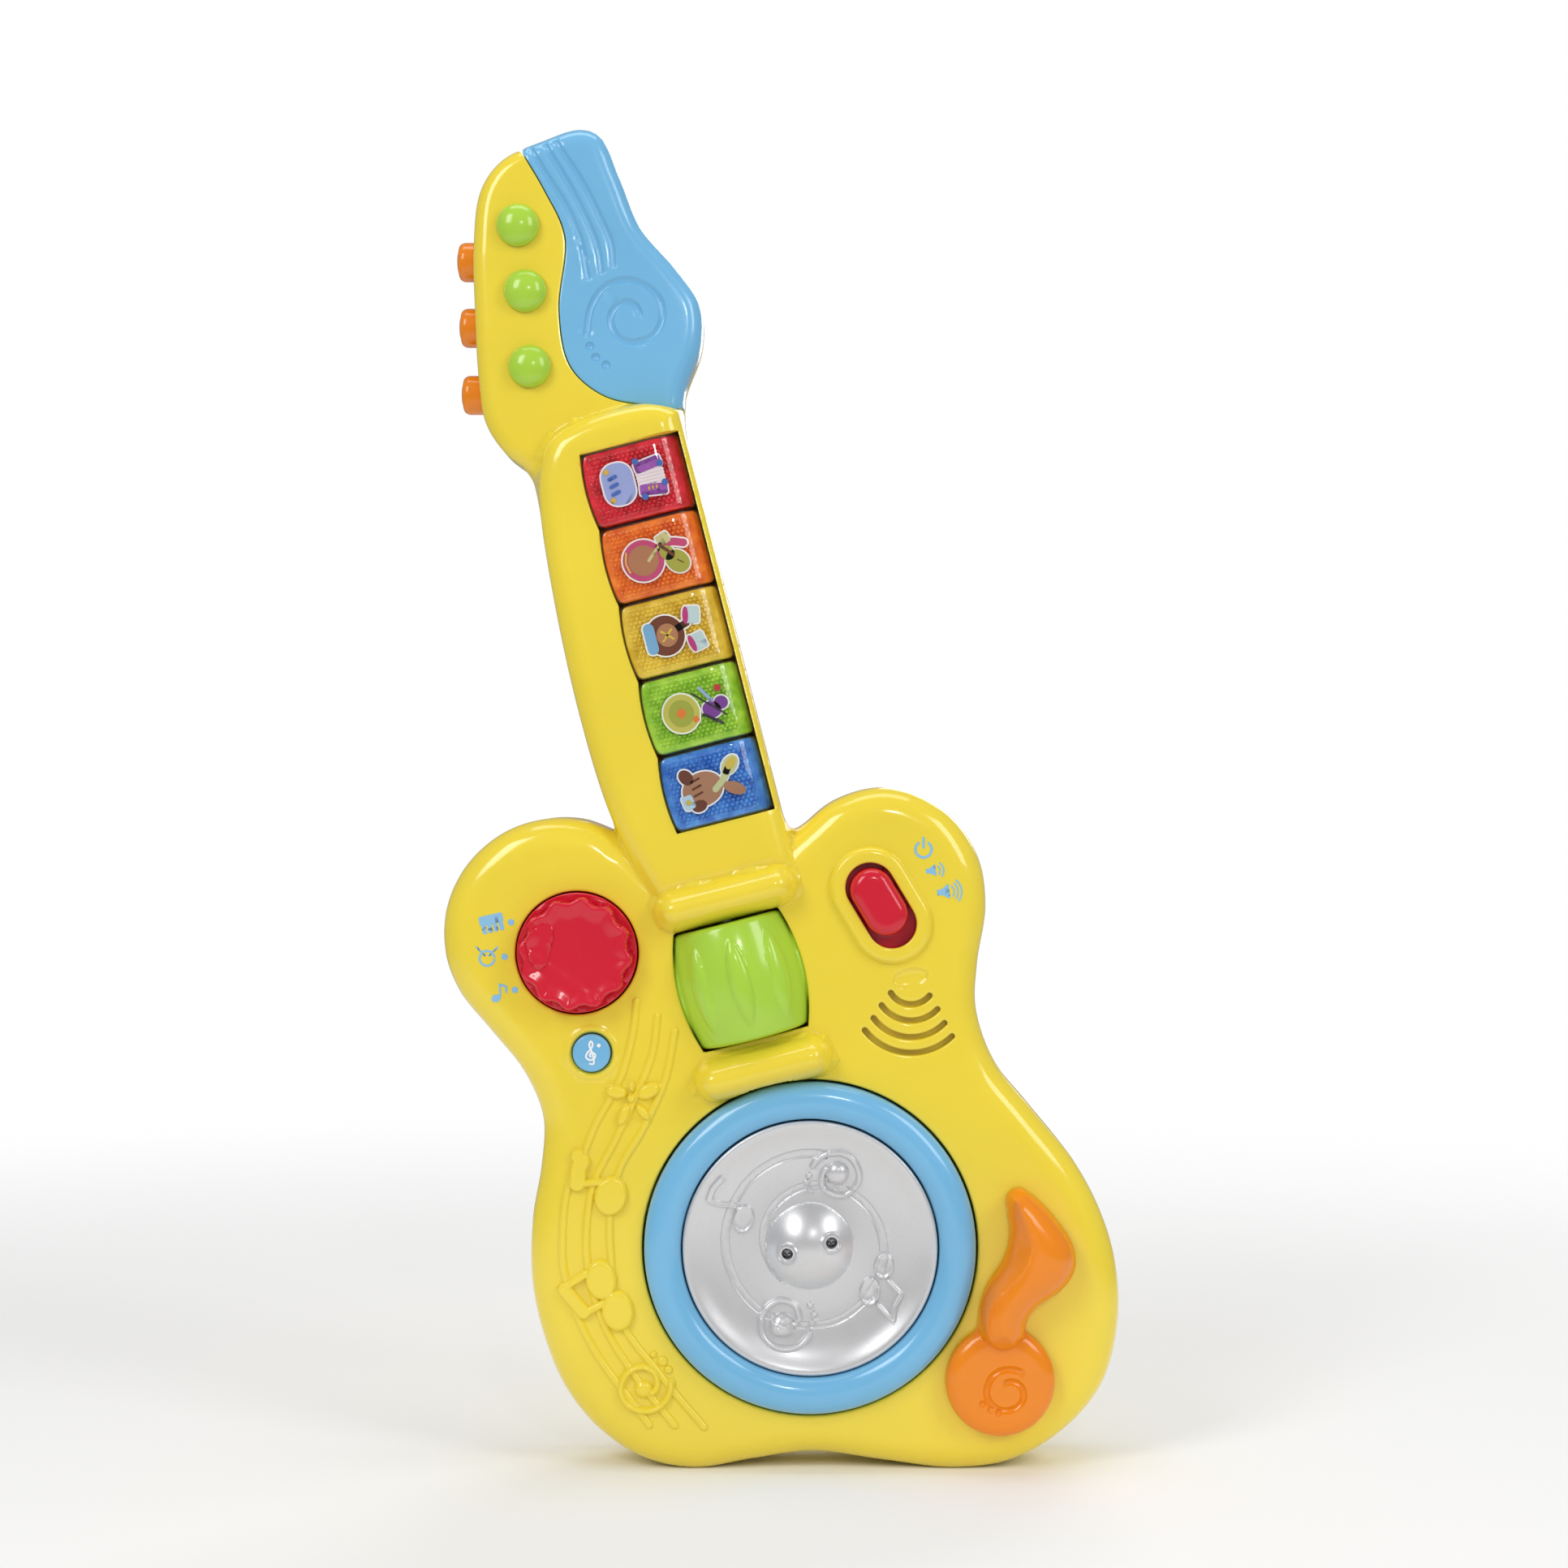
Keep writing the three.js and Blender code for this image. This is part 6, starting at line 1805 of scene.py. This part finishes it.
def icons():
    """Printed icons: what the knob chooses, with a dot for each, and off, soft and loud by the slider."""
    shapes = [oval(x, y, 1.0, 1.0) for x, y in ((-83, 169), (-85, 158.4), (-81.8, 148.2))]
    shapes += keyboard_icon(-91.3, 167.0) + drum_icon(-90.4, 157.9) + note_icon(-87.6, 145.6)
    shapes += power_icon(43.8, 191.4) + loudspeaker(46.6, 184.9, 0.8, 2) + loudspeaker(50.6, 178.4, 1.0, 3)
    for k, shape in enumerate(shapes):
        level = 0.01 + 0.004 * (k % 5)     # overlapping shapes don't share a plane
        film(f"icon_{k}", shape, level, ICON_INK, "case", surface=front_height)


front_shell()
head_cover()
back_shell()
battery_door()
tuners()
keys()
roller()
turntable_ring()
turntable_disc()
mode_knob()
power_slider()
song_button()
note_lever()
icons()
screws()

# ---------------------------------------------------------------- pieces kept from the CAD frame

CAD_FINISH = {
    "green_board": BOARD, "grey_rubber": RUBBER, "black_plastic": BLACK, "white_plastic": WHITE,
    "copper_leaf": COPPER, "steel": STEEL, "nickel": NICKEL, "cell_case": CELL, "lamp_lens": LENS,
    "yellow_plastic": YELLOW, "blue_plastic": BLUE, "red_plastic": RED, "orange_plastic": ORANGE,
    "green_plastic": GREEN, "silver_paint": SILVER,
}
for part in frame["record"]["subparts"]:
    node = frame["nodes"][part["node"]]
    finish = CAD_FINISH.get(part["material_slot"])
    if finish is not None and not node.hide_render:
        node.data.materials.clear()
        node.data.materials.append(finish)

# ---------------------------------------------------------------- stage, light, camera

CAMERA_DISTANCE, CAMERA_HEIGHT, CAMERA_ASIDE = 850.0, 211.5, 0.9
VIEW_HALF, VIEW_PLANE = 243.9, 26.0
AMBIENT, MIRRORED = 0.44, 0.30
FLOOR_FADE = (0.3, 0.95)


def floor_material():
    """White floor that fades out, so that it has no horizon."""
    nodes = Nodes("floor_white")
    bsdf = nodes.add("ShaderNodeBsdfPrincipled")
    bsdf.inputs["Base Color"].default_value = (0.92, 0.92, 0.92, 1)
    bsdf.inputs["Roughness"].default_value = 0.9
    bsdf.inputs["Specular IOR Level"].default_value = 0.0
    where = nodes.add("ShaderNodeTexCoord")
    reach = nodes.add("ShaderNodeVectorMath")
    reach.operation = "LENGTH"
    nodes.link(where.outputs["Object"], reach.inputs[0])
    fade = nodes.add("ShaderNodeMapRange")
    fade.interpolation_type = "SMOOTHSTEP"
    fade.inputs["From Min"].default_value, fade.inputs["From Max"].default_value = FLOOR_FADE
    nodes.link(reach.outputs["Value"], fade.inputs["Value"])
    away = nodes.add("ShaderNodeBsdfTransparent")
    mix = nodes.add("ShaderNodeMixShader")
    nodes.link(fade.outputs["Result"], mix.inputs["Fac"])
    nodes.link(bsdf.outputs["BSDF"], mix.inputs[1])
    nodes.link(away.outputs["BSDF"], mix.inputs[2])
    nodes.link(mix.outputs["Shader"], nodes.output.inputs["Surface"])
    return nodes.material


def stage_floor():
    bpy.ops.mesh.primitive_circle_add(vertices=128, radius=1.3, fill_type="NGON", location=(0, 0, 0))
    floor = bpy.context.object
    floor.name = "floor"
    floor.data.materials.append(floor_material())


def studio_world():
    """White behind the object, and softer light on it and in its reflections."""
    world = bpy.data.worlds.new("studio")
    bpy.context.scene.world = world
    world.use_nodes = True
    tree = world.node_tree
    tree.nodes.clear()

    def white(strength):
        node = tree.nodes.new("ShaderNodeBackground")
        node.inputs["Color"].default_value = (1, 1, 1, 1)
        node.inputs["Strength"].default_value = strength
        return node.outputs["Background"]

    def choose(ray, other, chosen):
        mix = tree.nodes.new("ShaderNodeMixShader")
        tree.links.new(path.outputs[ray], mix.inputs["Fac"])
        tree.links.new(other, mix.inputs[1])
        tree.links.new(chosen, mix.inputs[2])
        return mix.outputs["Shader"]

    path = tree.nodes.new("ShaderNodeLightPath")
    lit = choose("Is Glossy Ray", white(AMBIENT), white(MIRRORED))
    out = tree.nodes.new("ShaderNodeOutputWorld")
    tree.links.new(choose("Is Camera Ray", lit, white(1.0)), out.inputs["Surface"])


def softbox(name, place, size, power):
    light = bpy.data.lights.new(name, "AREA")
    light.shape = "RECTANGLE"
    light.size, light.size_y = size
    light.energy = power
    lamp = bpy.data.objects.new(name, light)
    bpy.context.scene.collection.objects.link(lamp)
    lamp.location = place
    lamp.rotation_euler = (Vector((0, 0, 0.22)) - Vector(place)).to_track_quat("-Z", "Y").to_euler()


def camera():
    data = bpy.data.cameras.new("camera")
    data.sensor_width = 36
    data.lens = 36 / 2 / (VIEW_HALF / CAMERA_DISTANCE)
    cam = bpy.data.objects.new("camera", data)
    bpy.context.scene.collection.objects.link(cam)
    plane_y = cad_high.y - VIEW_PLANE * MM
    cam.location = ((CAMERA_ASIDE + SHIFT_X) * MM, plane_y - CAMERA_DISTANCE * MM, CAMERA_HEIGHT * MM)
    cam.rotation_euler = (math.pi / 2, 0, 0)
    bpy.context.scene.camera = cam


stage_floor()
studio_world()
softbox("key_left", (-0.75, -0.95, 0.95), (0.45, 0.7), 6.0)
softbox("key_right", (0.9, -0.8, 0.8), (0.4, 0.7), 4.0)
softbox("front_spot", (0.16, -1.10, 0.62), (0.10, 0.10), 0.9)
softbox("top", (0, -0.05, 1.4), (1.0, 0.4), 3.5)
softbox("back", (0.5, 1.3, 0.9), (0.9, 0.9), 7)
camera()
bpy.context.scene.view_settings.view_transform = "Standard"
